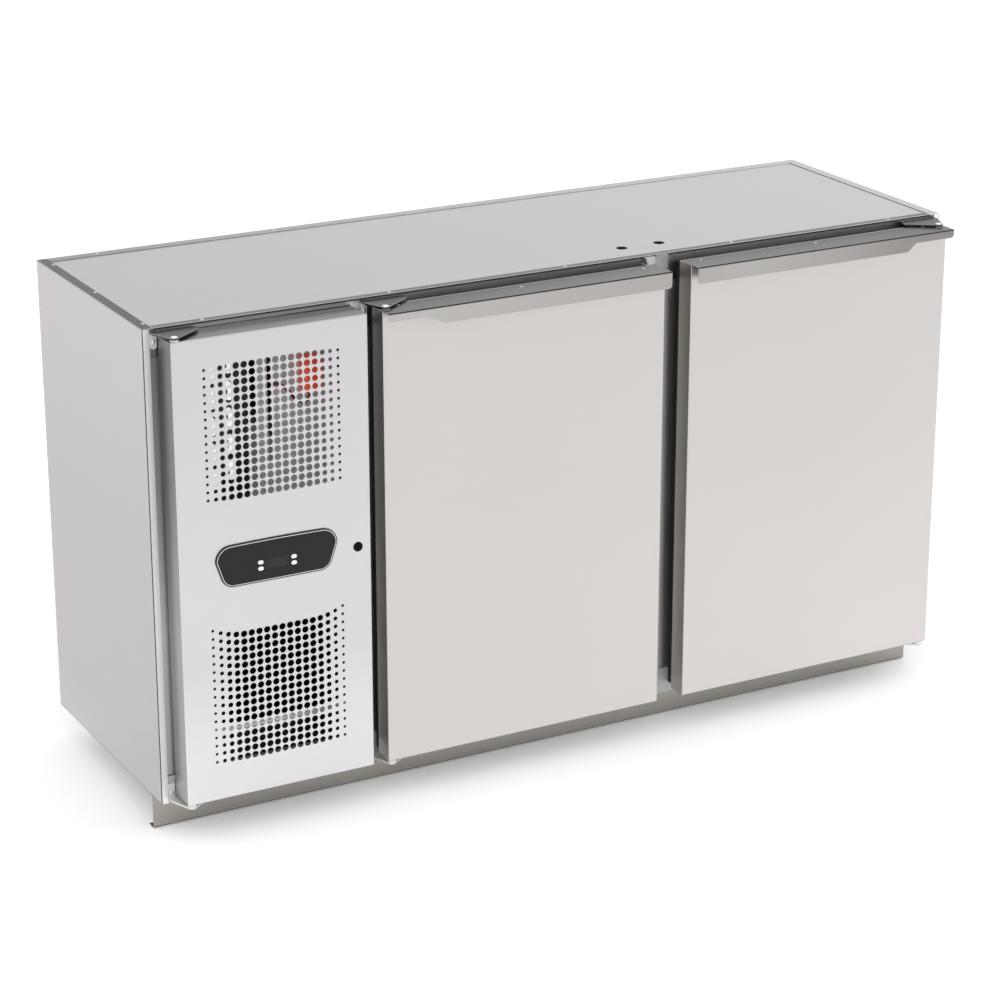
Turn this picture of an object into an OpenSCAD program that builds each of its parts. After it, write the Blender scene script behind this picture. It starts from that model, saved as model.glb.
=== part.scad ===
// Under-counter bottle fridge with two solid doors and a machine bay behind a perforated panel.
// X runs along the front, left to right, from the middle. Y runs from the front to the back:
// the modules count it from the cabinet's front plane, and in_frame() then moves every part so
// that Y = 0 lies midway between the handles and the back. Z = 0 is the floor. Millimetres.

/* [Cabinet] */
// Width of the cabinet shell
cab_w = 1480; // [1440:10:1600]
// Depth of the cabinet shell, without doors
cab_d = 455; // [450:5:520]
// Height of the cabinet shell, without its base
cab_h = 790; // [785:5:820]
// Height of the feet and the plinth under the shell
base_h = 60; // [50:5:90]
// Thickness of the folded sheet
sheet_t = 1.2; // [1:0.1:1.4]
// Thickness of an insulated wall with its two skins
wall_t = 45; // [42:1:50]

/* [Front layout] */
// Shell showing on either side of the doors
side_margin = 24; // [22:1:28]
// Width of the perforated machine panel
machine_w = 328; // [322:1:340]
// Gap between the machine panel and the left door
machine_gap = 26; // [24:1:32]
// Gap between the two doors
mullion_gap = 50; // [44:1:60]
// Width of the post behind the gap between the doors
mullion_w = 90; // [84:1:100]

/* [Doors] */
// Distance of the door faces in front of the cabinet
door_proud = 54; // [50:1:60]
// Thickness of an insulated door
door_t = 36; // [32:1:40]
// Door top below the top of the shell
door_top_gap = 10; // [9:1:12]
// Door bottom above the bottom of the shell
door_foot_gap = 14; // [13:1:18]
// Width of the gasket strip
gasket_w = 14; // [12:1:16]

/* [Hinges] */
// Distance of the pivot from the door's hinge edge
pivot_edge = 10; // [9.5:0.5:11]
// Distance of the pivot behind the door face
pivot_face = 9.5; // [9:0.5:11]
// Radius of the hinge pins
pin_r = 4; // [3.5:0.5:4.5]
// Radial play of a pin in its bush
pin_play = 0.03; // [0.02:0.01:0.08]

/* [Handles] */
// Distance of the handle lip in front of the door face
handle_reach = 22; // [20:1:28]
// Height of the lip along most of the door
lip_deep = 28; // [24:1:34]
// Height of the lip near the hinge
lip_shallow = 14; // [12:1:16]

/* [Perforation] */
// Holes along a row
hole_columns = 18; // [14:1:18]
// Rows of holes in each field
hole_rows = 17; // [12:1:17]
// Distance between hole centres
hole_pitch = 13.2; // [12.6:0.1:13.4]
// Diameter of the holes in the middle of a field
hole_d = 11.1; // [9:0.1:11.4]
// Diameter of the holes in the outer columns
hole_d_edge = 5; // [4:0.1:6]

/* [Control panel] */
// Width of the dark control fascia
fascia_w = 209; // [196:1:212]
// Height of the fascia
fascia_h = 71; // [66:1:72]
// How far the fascia stands out from the panel
fascia_t = 2.5; // [2:0.1:3]
// Travel of a button
button_travel = 0.8; // [0.5:0.1:0.8]

/* [Top] */
// Width of the riveted rims at the sides
rim_w = 18; // [16:1:22]
// Diameter of the two line holes
line_hole_d = 17; // [14:1:20]
// Distance between the two line holes
line_hole_pitch = 72; // [60:1:74]

/* [Shelves] */
// Height of the lower shelves above the cold floor
shelf_low = 205; // [180:5:220]
// Height of the upper shelves above the cold floor
shelf_high = 445; // [420:5:460]

/* [Hidden] */
$fn = 48;

// Shell
x_left = -cab_w / 2;
x_right = cab_w / 2;
z_base = base_h;
z_top = base_h + cab_h;
rim_front = 14;
rim_back = 20;
flange_w = 12;
gap = 0.2;
// The rims lie on the top panel, so the panel is one sheet lower
z_rim = z_top - sheet_t;
z_panel = z_rim - sheet_t;
line_hole_y = 67;

// Door row
door_w = (cab_w - 2 * side_margin - machine_w - machine_gap - mullion_gap) / 2;
machine_x = x_left + side_margin;
left_x = machine_x + machine_w + machine_gap;
right_x = left_x + door_w + mullion_gap;
face_y = -door_proud;
door_back_y = face_y + door_t;
door_z0 = z_base + door_foot_gap;
door_z1 = z_top - door_top_gap;
mullion_x = right_x - mullion_gap / 2;
pivot_y = face_y + pivot_face;

// Cold compartment, measured between the faces of its liner
liner_t = 1;
cold_x0 = machine_x + machine_w + wall_t;
cold_x1 = x_right - wall_t;
cold_y0 = 16;
cold_y1 = cab_d - wall_t;
cold_z0 = z_base + wall_t;
cold_z1 = z_top - wall_t;

// Front frame
rail_y = 1.5;
rail_x = x_right - 12.5;
rail_return = 14;
post_z0 = cold_z0 + sheet_t + gap;
post_z1 = cold_z1 - sheet_t - gap;

// Hinge stack
plate_t = 3;
upper_plate_z = door_z1 + 2.2;
lower_plate_z = door_z0 - 5 - plate_t;
bush_r = 6;
bush_flange_r = 7.5;
bush_depth = 24;
pin_depth = 18;

// Handle
handle_t = 1.2;
handle_back = 28;
lip_y = face_y - handle_reach;
lip_step_x = 76;
lip_step_w = 22;
lip_corner = 6;

// Perforation and control panel
panel_cx = machine_x + machine_w / 2;
control_z = door_z0 + 385.3;
fascia_z = control_z + 7.7;
upper_field_z = door_z1 - 260;
lower_field_z = door_z0 + 65.5;
field_rise = 0.74;
field_curve_columns = 5;
hole_grading = 1.3;
grade_columns = 4;
button_x = 28.5;
button_dz = 5.2;
button_w = 9.5;
button_h = 6.5;
window_w = 72;
window_h = 30;
display_w = 40;
display_h = 17;
lock_x = machine_x + machine_w - 23;
lock_r = 8;
plug_r = 5;
cam_length = 21.5;

// Machine bay
bay_x0 = x_left + sheet_t;
bay_x1 = machine_x + machine_w;
tray_z = z_base + sheet_t;
tray_edge_z = z_base + 102;
unit_z = z_base + 470;
fan_y = 195;
fan_z = unit_z + 138;
fan_r = 100;
condenser_x0 = x_left + 115;
condenser_x1 = x_left + 180;
condenser_y0 = 60;
condenser_y1 = 330;
condenser_z0 = unit_z + 15;
condenser_z1 = unit_z + 270;
shroud_x = condenser_x1 + 13;
tube_r = 4.75;
tube_pitch = 22;

// Evaporator, at the left end of the cold compartment
evap_x1 = cold_x0 + 108;
evap_y0 = 40;
evap_y1 = 395;
evap_z0 = cold_z0 + 365;
evap_fan_y = 215;
evap_fan_z = evap_z0 + 170;
evap_fan_r = 72;
suction_y = 380;
suction_z = evap_z0 + 80;
suction_r = 5;

// Moves a part from the drawing's zero, the cabinet's front plane, to the middle of the depth
module in_frame() {
    translate([0, -(lip_y + cab_d) / 2, 0])
        children();
}

// A box given by its two corners
module span(x0, x1, y0, y1, z0, z1) {
    translate([x0, y0, z0])
        cube([x1 - x0, y1 - y0, z1 - z0]);
}

// A cylinder along Y that starts at [x, y, z] and runs back
module rod_y(x, y, z, r, length) {
    translate([x, y, z])
        rotate([-90, 0, 0])
            cylinder(h = length, r = r);
}

// A cylinder along X that starts at [x, y, z] and runs right
module rod_x(x, y, z, r, length) {
    translate([x, y, z])
        rotate([0, 90, 0])
            cylinder(h = length, r = r);
}

// Mirrors its children to the right-hand side when hand is -1
module handed(x, hand) {
    translate([x, 0, 0])
        scale_x(hand)
            children();
}

module scale_x(hand) {
    if (hand < 0) {
        mirror([1, 0, 0])
            children();
    } else {
        children();
    }
}

// Domed rivet head that stands on Z = 0
module rivet_head(r = 3, h = 1.4) {
    ball_r = (r * r + h * h) / (2 * h);
    intersection() {
        translate([0, 0, h - ball_r])
            sphere(r = ball_r);
        cylinder(h = h + 1, r = r);
    }
}

// ---- Shell ----

// Side sheet, drawn for the left side from its outer face at X = 0
module side_panel() {
    strip_x = flange_w + 22;
    jog_y = 6;
    strip_z0 = z_base + sheet_t + gap;
    strip_z1 = z_top - 4;
    color([0.86, 0.85, 0.84]) {
        span(0, sheet_t, 0, cab_d, z_base, z_top);
        span(0, flange_w, 0, sheet_t, z_base, z_top);
        span(0, rim_w, cab_d - sheet_t, cab_d, z_base, z_top);
        span(0, rim_w, 0, cab_d, z_rim, z_top);
        span(0, rim_w, 0, cab_d, z_base, z_base + sheet_t);
        span(flange_w - sheet_t, flange_w, 0, jog_y, strip_z0, strip_z1);
        span(flange_w - sheet_t, strip_x, jog_y - sheet_t, jog_y, strip_z0, strip_z1);
    }
}

module side_panel_left() {
    handed(x_left, 1)
        side_panel();
}

module side_panel_right() {
    handed(x_right, -1)
        side_panel();
}

// Back sheet with its top rim, louvres for the machine bay and the hole for the mains lead
module back_panel() {
    half = x_right - rim_w - gap;
    louvre_w = 70;
    louvre_h = 6;
    color([0.74, 0.75, 0.76]) {
        span(-half, half, cab_d - rim_back, cab_d, z_rim, z_top);
        difference() {
            span(-half, half, cab_d - sheet_t, cab_d, z_base, z_rim);
            for (column = [0 : 2]) {
                for (row = [0 : 11]) {
                    translate([x_left + 60 + column * 100, cab_d - 3, z_base + 420 + row * 26])
                        cube([louvre_w, 6, louvre_h]);
                }
            }
            rod_y(x_left + 170, cab_d - 3, z_base + 70, 8, 6);
        }
    }
}

// The lid of the shell, under the riveted rims
module top_panel() {
    color([0.78, 0.77, 0.79])
        translate([0, 0, z_panel])
            linear_extrude(sheet_t)
                difference() {
                    translate([x_left + sheet_t + gap, rail_y + sheet_t + gap])
                        square([cab_w - 2 * (sheet_t + gap), cab_d - rail_y - 2 * sheet_t - 2 * gap]);
                    line_holes_2d();
                }
}

module line_holes_2d() {
    for (side = [-1, 1]) {
        translate([mullion_x + side * line_hole_pitch / 2, line_hole_y])
            circle(d = line_hole_d + 2);
    }
}

module base_panel() {
    half = x_right - rim_w - gap;
    color([0.66, 0.66, 0.67])
        span(-half, half, rail_y + sheet_t + gap, cab_d - sheet_t - gap, z_base, z_base + sheet_t);
}

// Channel across the top of the front, with the front rim
module front_top_rail() {
    rim_half = x_right - rim_w - gap;
    color([0.5, 0.5, 0.51]) {
        span(-rail_x, rail_x, rail_y, rail_y + sheet_t, cold_z1 - sheet_t, z_rim);
        span(-rim_half, rim_half, rail_y, rail_y + rim_front, z_rim, z_top);
        span(-rail_x + 24, rail_x - 24, rail_y, rail_return, cold_z1 - sheet_t, cold_z1);
    }
}

module front_bottom_rail() {
    color([0.55, 0.55, 0.56]) {
        span(-rail_x, rail_x, rail_y, rail_y + sheet_t, z_base, cold_z0 + sheet_t);
        span(-rail_x + 24, rail_x - 24, rail_y, rail_return, cold_z0, cold_z0 + sheet_t);
    }
}

// A folded post between the two rails, with the slot for the lock cam in its left leg
module folded_post(x0, x1) {
    slot_h = 28;
    slot_depth = 9;
    difference() {
        union() {
            span(x0, x1, rail_y, rail_y + sheet_t, post_z0, post_z1);
            span(x0, x0 + sheet_t, rail_y, rail_return, post_z0, post_z1);
            span(x1 - sheet_t, x1, rail_y, rail_return, post_z0, post_z1);
        }
        span(x0 - 1, x0 + sheet_t + 1, rail_y + sheet_t, slot_depth,
            control_z - slot_h / 2, control_z + slot_h / 2);
    }
}

module front_posts() {
    color([0.6, 0.6, 0.61]) {
        folded_post(bay_x1 - 4, cold_x0 + 2);
        span(cold_x1 - 1, rail_x, rail_y, rail_y + sheet_t, post_z0, post_z1);
        span(cold_x1 - 1, cold_x1 - 1 + sheet_t, rail_y, rail_return, post_z0, post_z1);
    }
}

// Insulated post between the doors, with the stop block and plate at its head
module centre_mullion() {
    block_z = door_z1 - 2.5;
    color([0.62, 0.61, 0.6]) {
        span(mullion_x - mullion_w / 2, mullion_x + mullion_w / 2, rail_y, 46, post_z0, post_z1);
        span(mullion_x - 34, mullion_x - 15, -8, rail_y, block_z, z_top - 1.4);
        span(mullion_x - 10, mullion_x + 14, 0.3, rail_y, z_top - 30, z_top - 1.4);
    }
}

// ---- Insulation and liner ----

module insulation_top() {
    color([0.93, 0.88, 0.7])
        translate([0, 0, cold_z1 + liner_t])
            linear_extrude(z_panel - cold_z1 - liner_t)
                difference() {
                    translate([bay_x1, cold_y0])
                        square([x_right - sheet_t - bay_x1, cab_d - sheet_t - cold_y0]);
                    line_holes_2d();
                }
}

module insulation_base() {
    color([0.93, 0.88, 0.7])
        span(bay_x1, x_right - sheet_t, cold_y0, cab_d - sheet_t,
            z_base + sheet_t, cold_z0 - liner_t);
}

module insulation_back() {
    color([0.93, 0.88, 0.7])
        span(bay_x1, x_right - sheet_t, cold_y1 + liner_t, cab_d - sheet_t,
            cold_z0 - liner_t, cold_z1 + liner_t);
}

module insulation_divider() {
    color([0.93, 0.88, 0.7])
        difference() {
            span(bay_x1, cold_x0 - liner_t, cold_y0, cold_y1 + liner_t,
                cold_z0 - liner_t, cold_z1 + liner_t);
            rod_x(bay_x1 - 1, suction_y, suction_z, suction_r + 1, wall_t + 2);
        }
}

module insulation_right() {
    color([0.93, 0.88, 0.7])
        span(cold_x1 + liner_t, x_right - sheet_t, cold_y0, cold_y1 + liner_t,
            cold_z0 - liner_t, cold_z1 + liner_t);
}

// Seamless inner box, open at the front
module inner_liner() {
    color([0.9, 0.91, 0.92])
        difference() {
            span(cold_x0 - liner_t, cold_x1 + liner_t, cold_y0, cold_y1 + liner_t,
                cold_z0 - liner_t, cold_z1 + liner_t);
            span(cold_x0, cold_x1, cold_y0 - 1, cold_y1, cold_z0, cold_z1);
            rod_x(cold_x0 - 3, suction_y, suction_z, suction_r + 1, 6);
            for (side = [-1, 1]) {
                translate([mullion_x + side * line_hole_pitch / 2, line_hole_y, cold_z1 - 1])
                    cylinder(h = 3, d = line_hole_d + 2);
            }
        }
}

// Plastic tubes through the insulated top, under the two line holes
module line_sleeves() {
    color([0.1, 0.1, 0.1])
        for (side = [-1, 1]) {
            translate([mullion_x + side * line_hole_pitch / 2, line_hole_y, cold_z1])
                difference() {
                    cylinder(h = z_rim - cold_z1, d = line_hole_d + 2);
                    translate([0, 0, -1])
                        cylinder(h = wall_t + 2, d = line_hole_d);
                }
        }
}

// ---- Base ----

module plinth() {
    plinth_y = 40;
    foot_gap = 2;
    color([0.62, 0.6, 0.58]) {
        span(x_left, x_right, plinth_y, plinth_y + sheet_t, foot_gap, z_base);
        span(x_left, x_right, plinth_y, plinth_y + 17, foot_gap, foot_gap + sheet_t);
        span(x_left + 2, x_right - 2, plinth_y, plinth_y + 15, z_base - sheet_t, z_base);
    }
}

module levelling_foot() {
    cylinder(h = 8, r = 20);
    cylinder(h = base_h / 2, r = 13);
    cylinder(h = base_h - 2, r = 6);
    translate([-30, -30, base_h - 2])
        cube([60, 60, 2]);
}

module levelling_feet() {
    color([0.2, 0.2, 0.2])
        for (x = [x_left + 95, 0, x_right - 95]) {
            for (y = [105, cab_d - 60]) {
                translate([x, y, 0])
                    levelling_foot();
            }
        }
}

// ---- Hinges ----

// Outline of a bracket plate around its pivot, for a door that extends to +X
module bracket_2d() {
    back = rail_y - pivot_y;
    circle(r = 7.5);
    polygon([
        [-21.8, back], [-21.8, back - 12], [-7.2, -2], [0, -7.5],
        [6.2, -4.2], [50, back - 20], [52, back - 15], [47, back]
    ]);
}

// Bracket plate, its screwed leg and its pin; flip is 1 above a door and -1 below it
module hinge_bracket(flip) {
    leg_h = 28;
    linear_extrude(plate_t)
        bracket_2d();
    translate([-21.8, rail_y - pivot_y - 2.5, flip > 0 ? plate_t - leg_h : 0])
        cube([10.8, 2.5, leg_h]);
    translate([0, 0, flip > 0 ? -pin_depth : plate_t])
        cylinder(h = pin_depth, r = pin_r);
    translate([0, 0, flip > 0 ? plate_t : -1.3])
        cylinder(h = 1.3, r = 5.5);
}

module hinge_brackets() {
    color([0.8, 0.8, 0.8])
        for (door = hinge_places()) {
            translate([0, pivot_y, 0])
                handed(door[0], door[1]) {
                    translate([0, 0, upper_plate_z])
                        hinge_bracket(1);
                    translate([0, 0, lower_plate_z])
                        hinge_bracket(-1);
                }
        }
}

// Pivot place and hand of the machine panel and the two doors
function hinge_places() = [
    [machine_x + pivot_edge, 1],
    [left_x + pivot_edge, 1],
    [right_x + door_w - pivot_edge, -1]
];

// Sleeve with a thrust flange that lines a door's pivot hole
module hinge_bush(z0, z1, flange_z0, flange_z1) {
    difference() {
        union() {
            translate([0, 0, z0])
                cylinder(h = z1 - z0, r = bush_r);
            translate([0, 0, flange_z0])
                cylinder(h = flange_z1 - flange_z0, r = bush_flange_r);
        }
        translate([0, 0, min(z0, flange_z0) - 1])
            cylinder(h = bush_depth + 12, r = pin_r + pin_play);
    }
}

// Both bushes of a door whose top stands at top_z
module hinge_bushes(top_z) {
    translate([0, pivot_y, 0]) {
        hinge_bush(door_z1 - bush_depth, top_z, top_z, upper_plate_z - gap);
        hinge_bush(door_z0, door_z0 + bush_depth, lower_plate_z + plate_t + gap, door_z0);
    }
}

// Rivets along the rims of the top, and the screws of the hinge brackets
module rivets_and_screws() {
    side_y = [30, cab_d / 2, cab_d - 42];
    front_count = 5;
    color([0.85, 0.85, 0.86]) {
        for (y = side_y) {
            for (x = [x_left + 14, x_right - 14]) {
                translate([x, y, z_top])
                    rivet_head();
            }
        }
        for (i = [0 : front_count - 1]) {
            x = x_left + 102 + i * (cab_w - 204) / (front_count - 1);
            translate([x, rail_y + rim_front / 2, z_top])
                rivet_head();
            translate([x, cab_d - rim_back / 2, z_top])
                rivet_head();
        }
        for (door = hinge_places()) {
            for (z = [upper_plate_z + plate_t - 16, lower_plate_z + 12]) {
                translate([door[0] - door[1] * 16.4, rail_y - 2.5, z])
                    rotate([90, 0, 0])
                        rivet_head(4, 2);
            }
        }
    }
}

// ---- Shelves ----

// Places of the shelf uprights: x, y and the face they stand on
function upright_places() = [
    [evap_x1 + sheet_t + 2, 62], [mullion_x - 26, 48], [mullion_x + 26, 48], [cold_x1 - 2, 62],
    [evap_x1 + 14, cold_y1 - 2], [mullion_x - 26, cold_y1 - 2], [mullion_x + 26, cold_y1 - 2],
    [cold_x1 - 24, cold_y1 - 2]
];

// One upright strip standing on the cold floor, lying along a wall
module upright(place) {
    side_wall = place[1] > 50 && place[1] < 100;
    strip_w = side_wall ? 4 : 18;
    strip_d = side_wall ? 18 : 4;
    inward = place[1] < 100 ? 1 : -1;
    toward = place[0] < mullion_x ? 1 : -1;
    upright_h = 660;
    translate([place[0] - strip_w / 2, place[1] - strip_d / 2, cold_z0])
        cube([strip_w, strip_d, upright_h]);
    for (level = [shelf_low, shelf_high]) {
        if (side_wall) {
            translate([place[0] + (toward > 0 ? 2 : -12), place[1] - 6, cold_z0 + level - 6])
                cube([10, 12, 6]);
        } else {
            translate([place[0] - 6, place[1] + (inward > 0 ? 2 : -12), cold_z0 + level - 6])
                cube([12, 10, 6]);
        }
    }
}

module shelf_supports() {
    color([0.75, 0.76, 0.77])
        for (place = upright_places()) {
            upright(place);
        }
}

// Wire shelf between x0 and x1 whose cross wires rest at height z
module wire_shelf(x0, x1, z) {
    front_y = 52;
    back_y = cold_y1 - 6;
    frame_r = 3;
    wire_r = 2;
    wires = 16;
    color([0.85, 0.86, 0.87]) {
        for (y = [front_y + frame_r, (front_y + back_y) / 2, back_y - frame_r]) {
            rod_x(x0, y, z + frame_r, frame_r, x1 - x0);
        }
        for (i = [0 : wires]) {
            x = x0 + wire_r + i * (x1 - x0 - 2 * wire_r) / wires;
            rod_y(x, front_y, z + 2 * frame_r + wire_r - 0.6, wire_r, back_y - front_y);
        }
    }
}

module shelf_left_low() {
    wire_shelf(evap_x1 + 8, mullion_x - 6, cold_z0 + shelf_low);
}

module shelf_left_high() {
    wire_shelf(evap_x1 + 8, mullion_x - 6, cold_z0 + shelf_high);
}

module shelf_right_low() {
    wire_shelf(mullion_x + 6, cold_x1 - 6, cold_z0 + shelf_low);
}

module shelf_right_high() {
    wire_shelf(mullion_x + 6, cold_x1 - 6, cold_z0 + shelf_high);
}

// ---- Cold side of the refrigeration ----

// Finned block with its tube ends and return bends
module finned_coil(x0, x1, y0, y1, z0, z1, fins, bend_side) {
    fin_pitch = (y1 - y0) / fins;
    slot = fin_pitch * 0.45;
    depth = (x1 - x0) * 0.3;
    difference() {
        span(x0, x1, y0, y1, z0, z1);
        for (i = [0 : fins - 1]) {
            y = y0 + (i + 0.5) * fin_pitch - slot / 2;
            span(x0 - 1, x0 + depth, y, y + slot, z0 + 4, z1 - 4);
            span(x1 - depth, x1 + 1, y, y + slot, z0 + 4, z1 - 4);
        }
    }
    bend_y = bend_side < 0 ? y0 : y1;
    rows = floor((z1 - z0 - 20) / tube_pitch / 2);
    for (column = [0 : 1]) {
        x = x0 + (x1 - x0) * (column == 0 ? 0.27 : 0.73);
        for (row = [0 : rows - 1]) {
            z = z0 + 14 + column * tube_pitch / 2 + row * 2 * tube_pitch;
            translate([x, bend_y, z + tube_pitch / 2])
                rotate([0, -90, 0])
                    rotate([0, 0, bend_side < 0 ? 180 : 0])
                        rotate_extrude(angle = 180)
                            translate([tube_pitch / 2, 0])
                                circle(r = tube_r);
        }
    }
}

module evaporator_coil() {
    color([0.8, 0.81, 0.83])
        finned_coil(cold_x0 + 8, cold_x0 + 58, evap_y0 + 30, evap_y1 - 30, evap_z0 + 30,
            evap_z0 + 250, 24, -1);
}

// Cover of the evaporator with its fan opening, drip tray and the fan motor on its strut
module evaporator_housing() {
    motor_r = 28;
    motor_x = cold_x0 + 62;
    ring_r = evap_fan_r + 4;
    color([0.82, 0.83, 0.84]) {
        difference() {
            span(cold_x0, evap_x1 + sheet_t, evap_y0, evap_y1, evap_z0, cold_z1);
            span(cold_x0 - 1, evap_x1, evap_y0 + sheet_t, evap_y1 - sheet_t,
                evap_z0 + sheet_t, cold_z1 + 1);
            rod_x(evap_x1 - 1, evap_fan_y, evap_fan_z, ring_r, 6);
            for (row = [0 : 5]) {
                span(cold_x0 + 12, evap_x1 - 12, evap_y0 - 1, evap_y0 + 4,
                    evap_z0 + 40 + row * 30, evap_z0 + 54 + row * 30);
            }
        }
        span(motor_x, motor_x + 4, evap_y0 + sheet_t, evap_y1 - sheet_t,
            evap_fan_z - 9, evap_fan_z + 9);
        rod_x(motor_x + 4, evap_fan_y, evap_fan_z, motor_r, 18);
    }
}

// Blades and hub of a fan that spins about X; the blades reach to radius r
module fan_wheel(hub_r, r, width, blades) {
    blade_t = 1.6;
    pitch_angle = 32;
    rotate([0, 90, 0])
        cylinder(h = width, r = hub_r);
    intersection() {
        rotate([0, 90, 0])
            cylinder(h = width, r = r);
        for (i = [0 : blades - 1]) {
            rotate([i * 360 / blades, 0, 0])
                translate([width / 2, 0, hub_r - 3])
                    rotate([0, 0, pitch_angle])
                        translate([-blade_t / 2, -r * 0.42, 0])
                            cube([blade_t, r * 0.84, r]);
        }
    }
}

module evaporator_fan() {
    color([0.12, 0.12, 0.13])
        translate([cold_x0 + 62 + 4 + 18 + 0.5, evap_fan_y, evap_fan_z])
            fan_wheel(20, evap_fan_r, 20, 6);
}

// ---- Machine bay ----

module machine_tray() {
    front_y = 20;
    tray_x0 = x_left + 20;
    tray_x1 = bay_x1 - 8;
    color([0.7, 0.71, 0.72]) {
        span(tray_x0, tray_x1, front_y, cab_d - 15, tray_z, tray_z + sheet_t);
        span(tray_x0, tray_x1, front_y, front_y + sheet_t, tray_z, tray_edge_z);
        span(tray_x0, tray_x1, front_y - sheet_t, front_y, tray_edge_z - 10, tray_edge_z);
    }
}

// Shelf that carries the condenser, fixed between the side sheet and the insulated wall
module unit_shelf() {
    lip_h = 18;
    color([0.72, 0.73, 0.74]) {
        span(bay_x0, bay_x1, 30, 400, unit_z - sheet_t, unit_z);
        span(bay_x0, bay_x1, 30, 30 + sheet_t, unit_z - lip_h, unit_z);
        span(bay_x0, bay_x1, 400 - sheet_t, 400, unit_z - lip_h, unit_z);
    }
}

// Hermetic compressor on a base plate with four rubber mounts
module compressor() {
    body_r = 76;
    waist_h = 92;
    dome_h = 52;
    mount_h = 18;
    plate_h = 4;
    floor_z = tray_z + sheet_t;
    corner_r = 24;
    color([0.08, 0.08, 0.09])
        translate([x_left + 180, 265, floor_z]) {
            for (x = [-85, 85]) {
                for (y = [-60, 60]) {
                    translate([x, y, 0])
                        cylinder(h = mount_h, r = 12);
                }
            }
            translate([-100, -75, mount_h])
                cube([200, 150, plate_h]);
            translate([0, 0, mount_h + plate_h])
                rotate_extrude()
                    union() {
                        square([body_r, waist_h]);
                        translate([0, waist_h])
                            square([body_r - corner_r, dome_h]);
                        translate([0, waist_h])
                            square([body_r, dome_h - corner_r]);
                        translate([body_r - corner_r, waist_h + dome_h - corner_r])
                            intersection() {
                                circle(r = corner_r);
                                square(corner_r);
                            }
                    }
            translate([body_r - 6, -24, mount_h + 40])
                cube([34, 48, 56]);
        }
}

module condenser_coil() {
    leg_t = 1.2;
    color([0.78, 0.78, 0.8]) {
        finned_coil(condenser_x0, condenser_x1, condenser_y0, condenser_y1, condenser_z0,
            condenser_z1, 30, -1);
        span(condenser_x0, condenser_x1, condenser_y0, condenser_y0 + leg_t, unit_z, condenser_z0);
        span(condenser_x0, condenser_x1, condenser_y1 - leg_t, condenser_y1, unit_z, condenser_z0);
    }
}

// Shroud plate with its duct to the condenser, and the fan motor on its arms
module condenser_fan_mount() {
    motor_r = 38;
    motor_x = shroud_x + 46;
    motor_l = 46;
    arm_w = 12;
    color([0.09, 0.09, 0.1]) {
        difference() {
            span(condenser_x1, shroud_x + sheet_t, condenser_y0, condenser_y1, unit_z, condenser_z1);
            span(condenser_x1 - 1, shroud_x, condenser_y0 + sheet_t, condenser_y1 - sheet_t,
                unit_z + sheet_t, condenser_z1 - sheet_t);
            rod_x(shroud_x - 1, fan_y, fan_z, fan_r + 6, 6);
        }
        rod_x(motor_x, fan_y, fan_z, motor_r, motor_l);
        for (side = [-1, 1]) {
            span(motor_x, motor_x + 3, fan_y + side * (fan_r + 15) - arm_w / 2,
                fan_y + side * (fan_r + 15) + arm_w / 2, fan_z - arm_w / 2, fan_z + arm_w / 2);
            span(motor_x, motor_x + 3, min(fan_y, fan_y + side * (fan_r + 10)),
                max(fan_y, fan_y + side * (fan_r + 10)), fan_z - arm_w / 2, fan_z + arm_w / 2);
            span(shroud_x + sheet_t, motor_x, fan_y + side * (fan_r + 15) - arm_w / 2,
                fan_y + side * (fan_r + 15) + arm_w / 2, fan_z - arm_w / 2, fan_z + arm_w / 2);
        }
    }
}

module condenser_fan() {
    color([0.1, 0.1, 0.1])
        translate([shroud_x + sheet_t + 6, fan_y, fan_z])
            fan_wheel(24, fan_r, 34, 5);
}

// Sheet that carries the electrical parts, with a slot for the leads
module component_plate() {
    plate_x0 = x_left + 205;
    plate_x1 = bay_x1 - 12;
    slot_x = x_left + 225;
    color([0.6, 0.6, 0.61])
        difference() {
            span(plate_x0, plate_x1, 48.8, 50, unit_z, unit_z + 285);
            span(slot_x, slot_x + 7, 48, 51, unit_z + 60, unit_z + 250);
        }
}

module junction_box() {
    box_x = x_left + 280;
    color([0.85, 0.16, 0.08]) {
        span(box_x, box_x + 30, 24, 48.8, unit_z + 170, unit_z + 227);
        span(box_x + 3, box_x + 27, 21, 24, unit_z + 174, unit_z + 223);
    }
}

// Lead from the fan motor, through the slot of the plate, to the foot of the junction box
module junction_box_lead() {
    lead_r = 2.5;
    motor_end_x = shroud_x + 92;
    lead_x = motor_end_x + 8;
    slot_x = x_left + 228.5;
    entry_x = x_left + 294;
    lead_z = unit_z + 190;
    color([0.42, 0.06, 0.06])
        piped([
            [motor_end_x, fan_y, fan_z], [lead_x, fan_y, fan_z], [lead_x, fan_y, lead_z],
            [lead_x, 64, lead_z], [slot_x, 64, lead_z], [slot_x, 42, lead_z],
            [entry_x, 38, unit_z + 155], [entry_x, 38, unit_z + 170]
        ], lead_r, 0.1);
}

// Round bar from point a to point b
module tube_between(a, b, r) {
    d = b - a;
    length = norm(d);
    translate(a)
        rotate([0, acos(d[2] / length), atan2(d[1], d[0])])
            cylinder(h = length, r = r);
}

// Tubes of a route with ball corners, which may be a little thicker than the tube
module piped(route, r, knuckle = 0) {
    for (i = [0 : len(route) - 2]) {
        tube_between(route[i], route[i + 1], r);
    }
    for (i = [1 : len(route) - 2]) {
        translate(route[i])
            sphere(r = r + knuckle);
    }
}

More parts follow.
